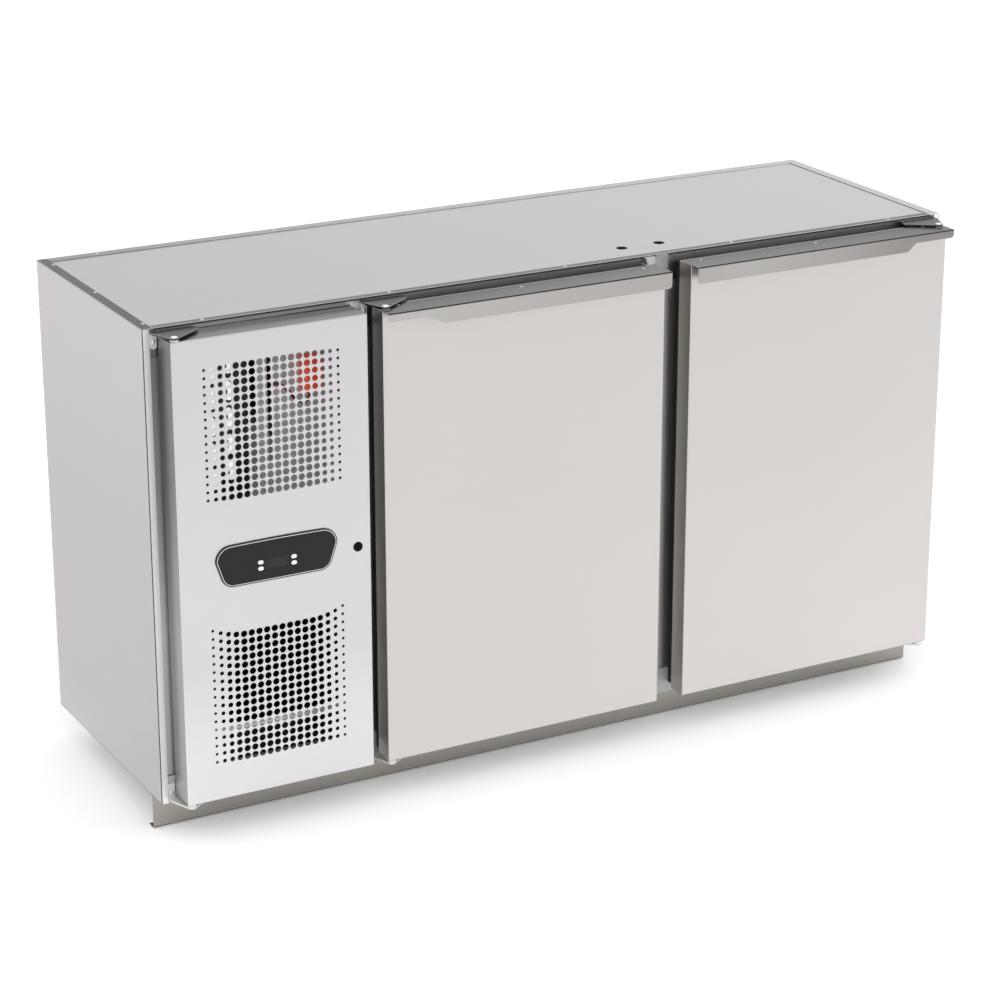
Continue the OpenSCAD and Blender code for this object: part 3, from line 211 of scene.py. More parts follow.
M = {
    # Door fronts: painted shading, darker towards the top.
    "door": steel("stainless_door", (0.64, 0.613, 0.602), 0.36, "x",
                  painted_shading=(("Z", ((0.08, 1.0), (0.2, 0.95), (0.5, 0.87), (0.84, 0.83))),)),
    # Door returns: a darker copy of the door steel, with painted shading darker towards the top.
    "door_return": steel("door_return", (0.62, 0.59, 0.565), 0.36, "z",
                         painted_shading=(("Z", ((0.07, 1.0), (0.45, 0.85), (0.84, 0.75))),)),
    # Machine panel front and folds: painted shading, darker towards the top.
    "panel": steel("stainless_panel", (0.755, 0.74, 0.755), 0.36, "x",
                   painted_shading=(("Z", ((0.074, 0.96), (0.15, 0.95), (0.3, 0.81), (0.84, 0.72))),)),
    # Panel returns: a darker copy with painted shading darker towards the top.
    "panel_return": steel("panel_return", (0.42, 0.41, 0.41), 0.36, "z",
                          painted_shading=(("Z", ((0.07, 1.0), (0.35, 1.0), (0.60, 0.6), (0.84, 0.5))),)),
    # Near-black copy on the panel's top return: painted shade.
    "panel_top": steel("panel_top", (0.22, 0.225, 0.23), 0.3, "x"),
    # Darker copy of the door steel on the door folds: painted shade.
    "fold": steel("pan_fold", (0.50, 0.49, 0.48), 0.32, "x"),
    # Lighter copy of the steel on rounded edges: painted highlight.
    "edge": steel("fold_edge", (0.74, 0.73, 0.72), 0.3, "x"),
    # Side sheets: painted shading, lighter at the foot and the top than in between.
    "side": steel("stainless_side", (0.53, 0.513, 0.505), 0.38, "y",
                  painted_shading=(("Z", ((0.06, 1.0), (0.15, 0.92), (0.5, 0.905), (0.85, 1.0))),)),
    # Lighter copy on the flange fronts and corner tabs: painted highlight.
    "side_flange": steel("side_flange", (0.80, 0.79, 0.79), 0.36, "z"),
    # Recess strips: painted shading, darker at the foot and much darker towards the top.
    "recess": steel("side_recess", (0.62, 0.61, 0.61), 0.5, "z",
                    painted_shading=(("Z", ((0.07, 0.85), (0.35, 1.0), (0.60, 0.6), (0.84, 0.45))),)),
    # Lid: painted shading, darker towards the left.
    "lid": steel("stainless_lid", (0.58, 0.563, 0.588), 0.36, "x",
                 painted_shading=(("X", ((-0.74, 0.89), (0.74, 1.0))),)),
    # Near-black copy of the steel on the left rim and on the front folds of the side sheets:
    # painted shade.
    "rim": steel("rim_steel", (0.085, 0.084, 0.081), 0.36, "y"),
    # Lighter copy of the rim steel on the right rim: painted light.
    "rim_light": steel("rim_light", (0.56, 0.55, 0.565), 0.36, "y"),
    # Dark copy of the steel on the front rim: painted shade.
    "rim_front": steel("rim_front", (0.16, 0.16, 0.16), 0.36, "x"),
    # Front top rail: painted reflection, a bright band just under its top and dark below, and
    # painted shade towards the right.
    "rail": steel("rail_steel", (0.68, 0.68, 0.68), 0.3, "x", painted_shading=(
        ("X", ((-0.74, 1.0), (-0.385, 0.9), (-0.355, 0.85), (0.74, 0.75))),
        ("Z", ((0.800, 0.3), (0.830, 0.45), (0.838, 1.0), (0.845, 0.7), (0.849, 0.4))))),
    "strip": painted("bottom_rail", (0.42, 0.42, 0.42), 0.4, 0.00002, 0.04, 0.3),
    "post": steel("post_steel", (0.50, 0.49, 0.48), 0.32, "z"),
    # Handle lip: a darker copy of the door steel, with painted shading darker towards the right.
    "handle": steel("handle_steel", (0.425, 0.408, 0.395), 0.32, "x",
                    painted_shading=(("X", ((-0.36, 1.0), (0.15, 0.84), (0.3, 0.9), (0.5, 0.75),
                                  (0.66, 0.55))),)),
    # Handle top: a dark copy, lighter in the middle: painted shade.
    "handle_top": steel("handle_top", (0.165, 0.162, 0.158), 0.3, "x",
                        painted_shading=(("X", ((-0.36, 0.75), (0.15, 1.0), (0.3, 0.95), (0.7, 0.7))),)),
    # Near-black copy on the handle fold: painted shade.
    "handle_fold": steel("handle_fold", (0.035, 0.033, 0.03), 0.3, "x"),
    "plinth": steel("plinth_steel", (0.38, 0.36, 0.34), 0.36, "x"),
    # Dark copy on the lower fold and return of the plinth: painted shade.
    "plinth_edge": steel("plinth_edge", (0.10, 0.09, 0.085), 0.36, "x"),
    # Near-black copy on the upper bracket plates: painted shade.
    "bracket": steel("bracket_steel", (0.07, 0.07, 0.067), 0.3, "x"),
    # Bright pin heads that glow: painted highlight.
    "head": painted("pin_head", (0.80, 0.80, 0.79), 0.25, 0.00001, 0.03, 0.6, glow=0.1),
    # Light copy that glows, on legs, screws, pins and foot plates: painted light.
    "ear": painted("bracket_ear", (0.62, 0.62, 0.61), 0.3, 0.00002, 0.04, 0.5, glow=0.08),
    # The glow lifts the component plate and unit shelf out of the bay's shade: painted light.
    "plate": painted("plate_zinc", (0.40, 0.40, 0.41), 0.5, 0.00002, 0.15, scale=120, glow=0.18),
    # Light tone with glow on the tray's hem: painted highlight.
    "hem": painted("tray_hem", (0.80, 0.80, 0.80), 0.35, 0.00002, 0.05, 0.3, glow=0.08),
    # Near-black copy of the zinc on the bay's wall: painted shade.
    "lining": galvanised("bay_lining", (0.10, 0.101, 0.104)),
    "coil": painted("coil_black", (0.014, 0.014, 0.015), 0.5, 0.00004, 0.2),
    "zinc": painted("zinc_plate", (0.66, 0.66, 0.65), 0.3, 0.00002, 0.06, 1.0),
    "galvanised": galvanised("galvanised_sheet", (0.46, 0.47, 0.48)),
    # Near-black copy of the zinc on the machine tray: painted shade.
    "tray": galvanised("galvanised_tray", (0.10, 0.102, 0.105)),
    # Back panel: painted shading, darker towards the left.
    "back": galvanised("galvanised_back", (0.58, 0.58, 0.59),
                       painted_shading=(("X", ((-0.74, 0.55), (0.0, 0.85), (0.74, 1.0))),)),
    "foam": foam("foam_core", (0.86, 0.77, 0.52)),
    "liner": painted("liner_white", (0.80, 0.80, 0.80), 0.35, 0.00003, 0.02),
    "black": painted("plastic_black", (0.016, 0.016, 0.017), 0.5, 0.00006, 0.2),
    "rubber": painted("rubber_black", (0.014, 0.014, 0.014), 0.75, 0.00008, 0.25),
    "foot": painted("foot_coat", (0.05, 0.05, 0.052), 0.5, 0.00006, 0.2),
    "wire": painted("shelf_coat", (0.78, 0.79, 0.80), 0.35, 0.00003, 0.04),
    "fin": steel("fin_aluminium", (0.74, 0.75, 0.76), 0.4, "z"),
    # White return bends that glow: painted highlight.
    "bend": painted("bend_aluminium", (0.90, 0.90, 0.90), 0.3, 0.00003, 0.03, glow=0.7),
    "compressor": painted("compressor_coat", (0.02, 0.02, 0.021), 0.28, 0.00008, 0.2),
    # The red is the box's own colour; its glow is painted light.
    "red": painted("box_red", (0.76, 0.075, 0.03), 0.35, 0.00004, 0.05, glow=0.30),
    "lead": painted("lead_red", (0.18, 0.012, 0.012), 0.4, 0.00004, 0.1),
    "copper": painted("copper_tube", (0.72, 0.36, 0.22), 0.3, 0.00003, 0.15, 1.0),
    "fascia": painted("fascia_grey", (0.0095, 0.0097, 0.0112), 0.5, 0.00005, 0.06, scale=900),
    "fascia_edge": painted("fascia_rim", (0.008, 0.008, 0.009), 0.4, 0.00004, 0.1),
    "fascia_line": painted("fascia_line", (0.62, 0.62, 0.63), 0.4, 0.00002, 0.05),
    "display": painted("display_window", (0.003, 0.003, 0.004), 0.2, 0.000005, 0.1),
    "button": painted("button_white", (0.86, 0.86, 0.85), 0.4, 0.00003, 0.03),
    "mark": painted("button_mark", (0.30, 0.31, 0.32), 0.5, 0.00002, 0.05),
    "segment": painted("display_segment", (0.022, 0.022, 0.024), 0.3, 0.00001, 0.05),
    "lock": painted("lock_black", (0.003, 0.003, 0.003), 0.6, 0.00002, 0.1),
    "floor": painted("studio_floor", (0.96, 0.96, 0.96), 0.95, 0.0, 0.005, glow=0.14),
}
for key, level in (("fascia", 0.26), ("display", 0.4), ("segment", 0.4), ("lock", 0.1),
                   ("fascia_edge", 0.3)):
    M[key].node_tree.nodes["Principled BSDF"].inputs["Specular IOR Level"].default_value = level


# ---- Mesh helpers ----

def middle(node):
    """Centre (x, z) of a CAD node's box."""
    lo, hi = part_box(node)
    return (lo.x + hi.x) / 2, (lo.z + hi.z) / 2


def finish_mesh(obj, angle=35):
    """Smooth shading with edges over this many degrees kept sharp."""
    obj.data.shade_smooth()
    obj.data.set_sharp_from_angle(angle=math.radians(angle))


def link_mesh(name, bm, body, mat, stands_for, tones, angle=35):
    """Turns a bmesh into a piece that rides on a body and stands for CAD nodes.

    tones names further materials, and a function that gives each face's index into
    (mat, *tones[0]), or None where the faces are marked already.
    """
    further, index = tones or ((), None)
    if index:
        for face in bm.faces:
            face.material_index = index(face)
    mesh = bpy.data.meshes.new(name)
    bm.to_mesh(mesh)
    bm.free()
    obj = bpy.data.objects.new(name, mesh)
    bpy.context.scene.collection.objects.link(obj)
    for key in (mat, *further):
        mesh.materials.append(M[key])
    finish_mesh(obj, angle)
    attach(obj, body)
    if stands_for:
        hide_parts(*stands_for)
    return obj


def piece(name, bm, body, mat, stands_for=(), angle=35, tones=None):
    """Links a bmesh with its normals outward, or to the front or up where it is an open sheet."""
    bmesh.ops.recalc_face_normals(bm, faces=bm.faces)
    if any(e.is_boundary for e in bm.edges):
        lead = sum(((f.normal.z - f.normal.y) * f.calc_area() for f in bm.faces), 0.0)
        if lead < 0:
            bmesh.ops.reverse_faces(bm, faces=bm.faces)
    bm.normal_update()
    return link_mesh(name, bm, body, mat, stands_for, tones, angle)


def soften(obj, width, weld=False, edge=None):
    """Rounds the sharp edges of a piece, or of a CAD node with weld; edge names their material, a
    lighter copy that paints a highlight along them.
    """
    if weld:
        welded = obj.modifiers.new("weld", "WELD")
        welded.merge_threshold = 0.000002
    rounded = obj.modifiers.new("edges", "BEVEL")
    rounded.width = width
    rounded.segments = 2
    rounded.limit_method = "ANGLE"
    rounded.angle_limit = math.radians(40)
    rounded.use_clamp_overlap = True
    if edge:
        obj.data.materials.append(M[edge])
        rounded.material = len(obj.data.materials) - 1
    normals = obj.modifiers.new("normals", "WEIGHTED_NORMAL")
    normals.keep_sharp = True


def thicken(obj):
    """Gives a surface its sheet thickness; flat faces keep flat shading up to their folds."""
    solid = obj.modifiers.new("sheet", "SOLIDIFY")
    solid.thickness = SHEET
    solid.offset = -1.0
    solid.use_even_offset = True
    normals = obj.modifiers.new("normals", "WEIGHTED_NORMAL")
    normals.keep_sharp = True
    normals.weight = 100


def add_box(bm, lo, hi):
    """Adds a box to a bmesh."""
    for v in bmesh.ops.create_cube(bm, size=1.0)["verts"]:
        v.co = Vector([lo[i] + (v.co[i] + 0.5) * (hi[i] - lo[i]) for i in range(3)])


def walls(bm, rings):
    """Quads between neighbouring closed rings of vertices, ring by ring."""
    faces = []
    for a, b in zip(rings, rings[1:]):
        n = len(a)
        faces += [bm.faces.new((a[k], a[(k + 1) % n], b[(k + 1) % n], b[k])) for k in range(n)]
    return faces


def closed_walls(bm, rings):
    """Walls with a face over the first and the last ring."""
    walls(bm, rings)
    bm.faces.new(rings[-1])
    bm.faces.new(rings[0])


def front_rings(bm, levels):
    """Rings of vertices from (outline, y) pairs, each outline a list of (x, z)."""
    return [[bm.verts.new((x, y, z)) for x, z in outline] for outline, y in levels]


def flat_with_cuts(bm, y, loops, is_cut):
    """Fills the first loop at one Y, except where is_cut(x, z) holds; returns the faces."""
    points, edges = [], []
    for loop in loops:
        start = len(points)
        points += [Vector(p) for p in loop]
        edges += [(start + k, start + (k + 1) % len(loop)) for k in range(len(loop))]
    verts, _, faces, *_ = delaunay_2d_cdt(points, edges, [], 0, 1e-7)
    flat = [bm.verts.new((v.x, y, v.y)) for v in verts]
    made = []
    for face in faces:
        x = sum(verts[i].x for i in face) / len(face)
        z = sum(verts[i].y for i in face) / len(face)
        if not is_cut(x, z):
            made.append(bm.faces.new([flat[i] for i in face]))
    return made


def open_pan(lo, hi, fold):
    """Folded pan, open at the back: a front face at low Y and four returns with rounded folds."""
    bm = bmesh.new()
    add_box(bm, lo, hi)
    bm.faces.ensure_lookup_table()
    back = max(bm.faces, key=lambda f: f.calc_center_median().y)
    bmesh.ops.delete(bm, geom=[back], context="FACES_ONLY")
    front_edges = [e for e in bm.edges if all(abs(v.co.y - lo[1]) < 1e-6 for v in e.verts)]
    deep_edges = [e for e in bm.edges if abs(e.verts[0].co.y - e.verts[1].co.y) > 1e-4]
    bmesh.ops.bevel(bm, geom=front_edges + deep_edges, offset=fold, segments=4,
                    profile=0.5, affect="EDGES", clamp_overlap=True)
    return bm


def sweep_frame(bm, rect, profile):
    """Sweeps a closed (inset, y) profile round a rectangle in XZ, mitred at the corners."""
    x0, x1, z0, z1 = rect
    corners = ((x0, z0, 1, 1), (x1, z0, -1, 1), (x1, z1, -1, -1), (x0, z1, 1, -1))
    rings = [
        [bm.verts.new((cx + sx * u, y, cz + sz * u)) for u, y in profile]
        for cx, cz, sx, sz in corners
    ]
    walls(bm, [*rings, rings[0]])


def tube(bm, points, radius, sides):
    """A round tube along a polyline, closed at both ends."""
    pts = [Vector(p) for p in points]
    rings = []
    up = Vector((0, 0, 1))
    for i, p in enumerate(pts):
        along = (pts[min(i + 1, len(pts) - 1)] - pts[max(i - 1, 0)]).normalized()
        side = along.cross(up)
        if side.length < 0.05:
            side = along.cross(Vector((1, 0, 0)))
        side.normalize()
        up = side.cross(along).normalized()
        rings.append([
            bm.verts.new(p + radius * (math.cos(t) * side + math.sin(t) * up))
            for t in (2 * math.pi * k / sides for k in range(sides))
        ])
    closed_walls(bm, rings)


# ---- Camera, light and stage ----

def make_stage():
    """Pale floor that takes the contact shadow."""
    bm = bmesh.new()
    bmesh.ops.create_grid(bm, x_segments=8, y_segments=8, size=14)
    mesh = bpy.data.meshes.new("floor")
    bm.to_mesh(mesh)
    bm.free()
    floor = bpy.data.objects.new("floor", mesh)
    bpy.context.scene.collection.objects.link(floor)
    mesh.materials.append(M["floor"])


def area_light(name, size, power, place, target):
    """A rectangular light that faces its target."""
    data = bpy.data.lights.new(name, "AREA")
    data.shape = "RECTANGLE"
    data.size, data.size_y = size
    data.energy = power
    obj = bpy.data.objects.new(name, data)
    obj.location = place
    obj.rotation_mode = "QUATERNION"
    obj.rotation_quaternion = (Vector(target) - Vector(place)).to_track_quat("-Z", "Y")
    bpy.context.scene.collection.objects.link(obj)


def make_camera():
    """The photo's view: a long lens from the front left, looking down by 20 degrees."""
    data = bpy.data.cameras.new("camera")
    data.sensor_width = 36
    data.lens = 2.975 * 36
    data.clip_start = 0.1
    data.clip_end = 60
    cam = bpy.data.objects.new("camera", data)
    cam.location = (-2.321, -4.2285, 2.133)
    az, el = math.radians(-28.53), math.radians(19.87)
    back = Vector((math.sin(az) * math.cos(el), -math.cos(az) * math.cos(el), math.sin(el)))
    cam.rotation_mode = "QUATERNION"
    cam.rotation_quaternion = (-back).to_track_quat("-Z", "Y")
    bpy.context.scene.collection.objects.link(cam)
    bpy.context.scene.camera = cam


def make_world():
    """Plain white room."""
    world = bpy.data.worlds.new("studio")
    bpy.context.scene.world = world
    world.use_nodes = True
    world.node_tree.nodes["Background"].inputs["Color"].default_value = (1.0, 1.0, 1.0, 1)
    world.node_tree.nodes["Background"].inputs["Strength"].default_value = 1.0


bpy.context.scene.view_settings.view_transform = "Standard"
make_stage()
make_camera()
make_world()
area_light("key", (4.0, 3.0), 45, (-2.5, -3.0, 3.6), (0, 0, 0.4))
area_light("fill", (2.5, 2.5), 25, (3.2, -2.2, 2.4), (0.2, 0, 0.4))


# ---- CAD nodes that keep their shape ----

KEEP = {
    "back": "back_panel",
    "galvanised": "base_panel",
    "plate": "component_plate unit_shelf",
    "tray": "machine_tray",
    "lid": "top_panel",
    "strip": "front_bottom_rail",
    "post": "front_posts centre_mullion",
    "foam": "insulation_top insulation_base insulation_back insulation_divider insulation_right",
    "liner": "inner_liner door_left_core door_right_core",
    "black": "line_sleeves mains_gland controller_body evaporator_fan condenser_fan"
             " condenser_fan_mount",
    "foot": "levelling_feet",
    "zinc": "rivets_and_screws shelf_supports door_left_fittings door_right_fittings"
            " machine_panel_bushes",
    "wire": "shelf_left_low shelf_left_high shelf_right_low shelf_right_high",
    "fin": "evaporator_housing",
    "compressor": "compressor",
    "red": "junction_box",
    "copper": "refrigerant_pipes",
    "lock": "lock_barrel lock_cam",
}
for key, names in KEEP.items():
    for node in names.split():
        NODES[node].data.materials.clear()
        NODES[node].data.materials.append(M[key])

SOFTENED = {
    0.0004: "centre_mullion front_bottom_rail front_posts top_panel back_panel machine_tray"
            " unit_shelf component_plate",
    0.002: "door_left_core door_right_core junction_box",
    0.001: "levelling_feet controller_body",
}
for width, names in SOFTENED.items():
    for node in names.split():
        finish_mesh(NODES[node])
        soften(NODES[node], width, weld=True)


# ---- Doors ----

DOOR_FOLD = 0.0014


def pan_tone(face):
    """Front, folds, side returns and top return of a pan, as 0, 1, 2 and 3."""
    n = face.normal
    if n.y < -0.999:
        return 0
    if n.y < -0.05:
        return 1
    return 3 if n.z > 0.9 else 2


def door_sheet(side):
    """Outer skin of a door."""
    node = f"door_{side}_skin"
    # Folds and returns take darker copies of the door steel: painted shade.
    obj = piece(f"{node}_sheet", open_pan(*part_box(node), DOOR_FOLD), f"door_{side}", "door",
                (node,),
                tones=(("fold", "door_return", "door_return"), pan_tone))
    thicken(obj)


def handle_strip(side, hand):
    """Folded handle: a flat top, a rounded fold, and a lip whose lower edge steps down."""
    node = f"door_{side}_handle"
    lo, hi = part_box(node)
    width = hi.x - lo.x
    deep, shallow = 0.028, 0.014
    step_at, step_w, corner, fold = 0.076, 0.022, 0.006, 0.0018

    def depth(x):
        if x <= step_at:
            d = shallow
        elif x >= step_at + step_w:
            d = deep
        else:
            t = (x - step_at) / step_w
            d = shallow + (deep - shallow) * (1 - math.cos(math.pi * t)) / 2
        for edge in (x, width - x):
            if edge < corner:
                d -= corner - math.sqrt(max(0.0, corner ** 2 - (corner - edge) ** 2))
        return d

    ends = [corner * (1 - math.cos(math.pi * k / 12)) for k in range(7)]
    xs = ends + [step_at * k / 4 for k in range(1, 5)]
    xs += [step_at + step_w * k / 14 for k in range(1, 15)]
    xs += [0.2, 0.3, 0.4] + [width - e for e in reversed(ends)]
    bm = bmesh.new()
    rows = []
    for x in sorted(set(round(x, 6) for x in xs)):
        world_x = lo.x + x if hand > 0 else hi.x - x
        row = [(hi.y, hi.z), (lo.y + (hi.y - lo.y) / 2, hi.z), (lo.y + 2 * fold, hi.z)]
        row += [(lo.y + fold - fold * math.sin(a), hi.z - fold + fold * math.cos(a))
                for a in (math.pi / 2 * k / 6 for k in range(7))]
        lip = depth(x)
        row += [(lo.y, hi.z - fold - (lip - fold) * k / 4) for k in range(1, 5)]
        rows.append([bm.verts.new((world_x, y, z)) for y, z in row])
    for a, b in zip(rows, rows[1:]):
        for k in range(len(a) - 1):
            bm.faces.new((a[k], a[k + 1], b[k + 1], b[k]))
    # The top and fold take darker copies of the steel, painted shade, and the rounded edges a
    # lighter one, painted highlight.
    obj = piece(f"{node}_fold", bm, f"door_{side}", "handle", (node,), angle=40,
                tones=(("handle_top", "handle_fold"), handle_tone))
    thicken(obj)
    soften(obj, 0.0004, edge="edge")


def handle_tone(face):
    """Lip, top and fold of a handle, as 0, 1 and 2."""
    n = face.normal
    if n.z > 0.999:
        return 1
    return 2 if n.z > 0.05 else 0


# (inset, distance behind the door) round the section of a gasket.
GASKET_PROFILE = (
    (0.0, 0.0), (0.0, 0.0016), (0.0022, 0.003), (0.0012, 0.0055), (0.0006, 0.0085),
    (0.0020, 0.0120), (0.0010, 0.0148), (0.0006, 0.0176), (0.0016, 0.0189),
    (0.0124, 0.0189), (0.0134, 0.0176), (0.0130, 0.0148), (0.0120, 0.0120),
    (0.0134, 0.0085), (0.0128, 0.0055), (0.0118, 0.003), (0.014, 0.0016), (0.014, 0.0),
)


def door_seal(side):
    """Magnetic gasket: a bellows profile swept round the back of the door."""
    node = f"door_{side}_gasket"
    lo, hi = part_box(node)
    bm = bmesh.new()
    sweep_frame(bm, (lo.x, hi.x, lo.z, hi.z), [(u, lo.y + v) for u, v in GASKET_PROFILE])
    piece(f"{node}_bellows", bm, f"door_{side}", "rubber", (node,), angle=50)


for side, hand in (("left", 1), ("right", -1)):
    door_sheet(side)
    handle_strip(side, hand)
    door_seal(side)


# ---- Machine panel ----

PANEL_LO, PANEL_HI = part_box("machine_panel")
PANEL_CX, PANEL_CZ = middle("machine_panel")
PANEL_FOLD = 0.002
COLUMNS, ROWS, PITCH, ROW_PITCH = 18, 17, 0.0132, 0.0131
# Heights of the lowest row of each field of holes, then the hole sizes.
TOP_FIELD_Z, LOW_FIELD_Z = PANEL_HI.z - 0.260, PANEL_LO.z + 0.0655
HOLE_D, HOLE_D_LESS, GRADED = 0.0111, 0.0061, 4
LOCK_HOLE_R = 0.008
SLOT_W, SLOT_H = 0.072, 0.030


def perforation():
    """Centres and radii of the holes of both fields, as (x, z, r).

    The outer columns have smaller holes, and those of the lower field spread upward.
    """
    holes = []
    for base, curved in ((TOP_FIELD_Z, 0), (LOW_FIELD_Z, 1)):
        for column in range(COLUMNS):
            inward = min(column, COLUMNS - 1 - column)
            d = HOLE_D - HOLE_D_LESS * (1 - min(inward, GRADED) / GRADED) ** 1.3
            rise = curved * 0.00074 * max(0.0, 4.5 - inward) ** 2
            pitch = ROW_PITCH + rise / (ROWS - 1)
            x = PANEL_CX + (column - (COLUMNS - 1) / 2) * PITCH
            holes += [(x, base + row * pitch, d / 2) for row in range(ROWS)]
    return holes


def punched_panel():
    """Folded sheet with its punched holes, a slot behind the fascia and the lock hole."""
    bm = open_pan(PANEL_LO, PANEL_HI, PANEL_FOLD)
    bm.faces.ensure_lookup_table()
    front = min(bm.faces, key=lambda f: f.calc_center_median().y)
    rim = list(front.verts)
    bmesh.ops.delete(bm, geom=[front], context="FACES_ONLY")
    margin = 0.0015
    corners = [(v.co.x + math.copysign(margin, PANEL_CX - v.co.x),
                v.co.z + math.copysign(margin, PANEL_CZ - v.co.z)) for v in rim]
    inner = [bm.verts.new((x, PANEL_LO.y, z)) for x, z in corners]
    for k in range(len(rim)):
        bm.faces.new((rim[k - 1], rim[k], inner[k], inner[k - 1]))
    holes = [*perforation(), (*middle("lock_barrel"), LOCK_HOLE_R)]
    circles = [[(x + r * math.cos(2 * math.pi * k / 20), z + r * math.sin(2 * math.pi * k / 20))
                for k in range(20)] for x, z, r in holes]
    slot_z = middle("controller_body")[1]
    half_w, half_h = SLOT_W / 2, SLOT_H / 2
    slot = [(PANEL_CX + sx * half_w, slot_z + sz * half_h)
            for sx, sz in ((-1, -1), (1, -1), (1, 1), (-1, 1))]

    def is_cut(x, z):
        in_slot = abs(x - PANEL_CX) < half_w and abs(z - slot_z) < half_h
        return in_slot or any((x - cx) ** 2 + (z - cz) ** 2 < (0.98 * r) ** 2
                              for cx, cz, r in holes)

    flat_with_cuts(bm, PANEL_LO.y, [corners, *circles, slot], is_cut)
    bmesh.ops.remove_doubles(bm, verts=bm.verts, dist=1e-6)
    # The returns and the top return take darker copies of the panel steel: painted shade.
    obj = piece("machine_panel_sheet", bm, PANEL, "panel",
                ("machine_panel",),
                tones=(("panel", "panel_return", "panel_top"), pan_tone))
    thicken(obj)


punched_panel()


# ---- Control panel ----

BUTTON_X, BUTTON_DZ, BUTTON_W, BUTTON_H, BUTTON_GAP = 0.0285, 0.0052, 0.0095, 0.0065, 0.00035
WINDOW_W, WINDOW_H, WINDOW_GAP = 0.0404, 0.0174, 0.0003
DIGIT_PITCH, DIGIT_W, DIGIT_H, SEGMENT_W = 0.0105, 0.0056, 0.0104, 0.0011
# (inset, depth behind the front) steps from the side of a cap or of the fascia to its front.
CAP_PROFILE = ((0.0, 0.0012), (0.0003, 0.0005), (0.0010, 0.0001), (0.0019, 0.0))
FASCIA_RIM = ((0.0, 0.0009), (0.0003, 0.0003), (0.0010, 0.0), (0.0021, 0.0),
              (0.0022, 0.0001), (0.0031, 0.0001), (0.0032, 0.0))
# Bands of the fascia rim, counted from its back, that form the groove of the pale line.
LINE_BANDS = (4, 5, 6)


def inset_outline(points, amount):
    """Moves a closed outline along its normals: inward if clockwise, or else outward."""
    n = len(points)
    out = []
    for i in range(n):
        a, b, c = (Vector(points[(i + k) % n]) for k in (-1, 0, 1))
        e0, e1 = (b - a).normalized(), (c - b).normalized()
        normal = Vector((e0.y, -e0.x)) + Vector((e1.y, -e1.x))
        normal.normalize()
        shift = amount / max(0.5, normal.dot(Vector((e1.y, -e1.x))))
        out.append(tuple(b + normal * shift))
    return out


def fascia_outline():
    """Rounded trapezoid of the fascia about its centre, clockwise from the middle of its top."""
    lo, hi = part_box("control_fascia")
    half_w, half_h = (hi.x - lo.x) / 2, (hi.z - lo.z) / 2
    top_r, foot_r, arch = 0.026, 0.022, 0.001
    foot_x, top_z = half_w - 0.0085, half_h - arch
    half = [((half_w - top_r) * i / 8, half_h - arch * (i / 8) ** 2) for i in range(9)]
    half += [(half_w - top_r + top_r * math.sin(a), top_z - top_r + top_r * math.cos(a))
             for a in (math.pi / 2 * i / 12 for i in range(1, 13))]
    half += [(foot_x - foot_r + foot_r * math.cos(a), -half_h + foot_r - foot_r * math.sin(a))
             for a in (math.radians(15 + 75 * i / 12) for i in range(13))]
    return half + [(-x, z) for x, z in reversed(half[1:])]


def oval(cx, cz, w, h, grow=0.0, count=12):
    """Stadium outline, wider than high."""
    r = h / 2 + grow
    dx = (w - h) / 2
    pts = [(cx + dx + r * math.cos(a), cz + r * math.sin(a))
           for a in (-math.pi / 2 + math.pi * k / count for k in range(count + 1))]
    pts += [(cx - dx + r * math.cos(a), cz + r * math.sin(a))
            for a in (math.pi / 2 + math.pi * k / count for k in range(count + 1))]
    return pts


def rounded_rect(cx, cz, w, h, r, count=5):
    """Rectangle outline with rounded corners."""
    pts = []
    for sx, sz, a0 in ((1, -1, -90), (1, 1, 0), (-1, 1, 90), (-1, -1, 180)):
        for k in range(count + 1):
            a = math.radians(a0 + 90 * k / count)
            pts.append((cx + sx * (w / 2 - r) + r * math.cos(a),
                        cz + sz * (h / 2 - r) + r * math.sin(a)))
    return pts


def control_fascia():
    """Dark moulding with a pale line in a groove, and openings for the display and buttons."""
    lo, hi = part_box("control_fascia")
    cx, cz = middle("control_fascia")
    dx, dz = middle("control_display")
    outline = [(cx + x, cz + z) for x, z in fascia_outline()]
    bm = bmesh.new()
    rings = front_rings(bm, [(outline, hi.y)] + [
        (inset_outline(outline, inset), lo.y + depth) for inset, depth in FASCIA_RIM])
    for k, face in enumerate(walls(bm, rings)):
        face.material_index = 1 if k // len(outline) in LINE_BANDS else 0
    buttons = [(dx + sx * BUTTON_X, dz + sz * BUTTON_DZ) for sx in (-1, 1) for sz in (-1, 1)]
    cuts = [rounded_rect(dx, dz, WINDOW_W, WINDOW_H, 0.0012)]
    cuts += [oval(x, z, BUTTON_W, BUTTON_H, BUTTON_GAP) for x, z in buttons]
    # A little inside the ovals, because their chords lie inside the true arcs.
    reach = BUTTON_H / 2 + BUTTON_GAP - 0.00002

    def is_cut(x, z):
        in_window = abs(x - dx) < WINDOW_W / 2 and abs(z - dz) < WINDOW_H / 2
        return in_window or any(
            max(0.0, abs(x - bx) - (BUTTON_W - BUTTON_H) / 2) ** 2 + (z - bz) ** 2 < reach ** 2
            for bx, bz in buttons)

    inner = [(v.co.x, v.co.z) for v in rings[-1]]
    for face in flat_with_cuts(bm, lo.y, [inner, *cuts], is_cut):
        face.material_index = 2
    for loop in cuts:
        walls(bm, front_rings(bm, [(loop, lo.y), (loop, hi.y)]))
    bmesh.ops.remove_doubles(bm, verts=bm.verts, dist=1e-6)
    piece("control_fascia_moulding", bm, PANEL, "fascia_edge",
          ("control_fascia",), angle=30, tones=(("fascia_line", "fascia"), None))


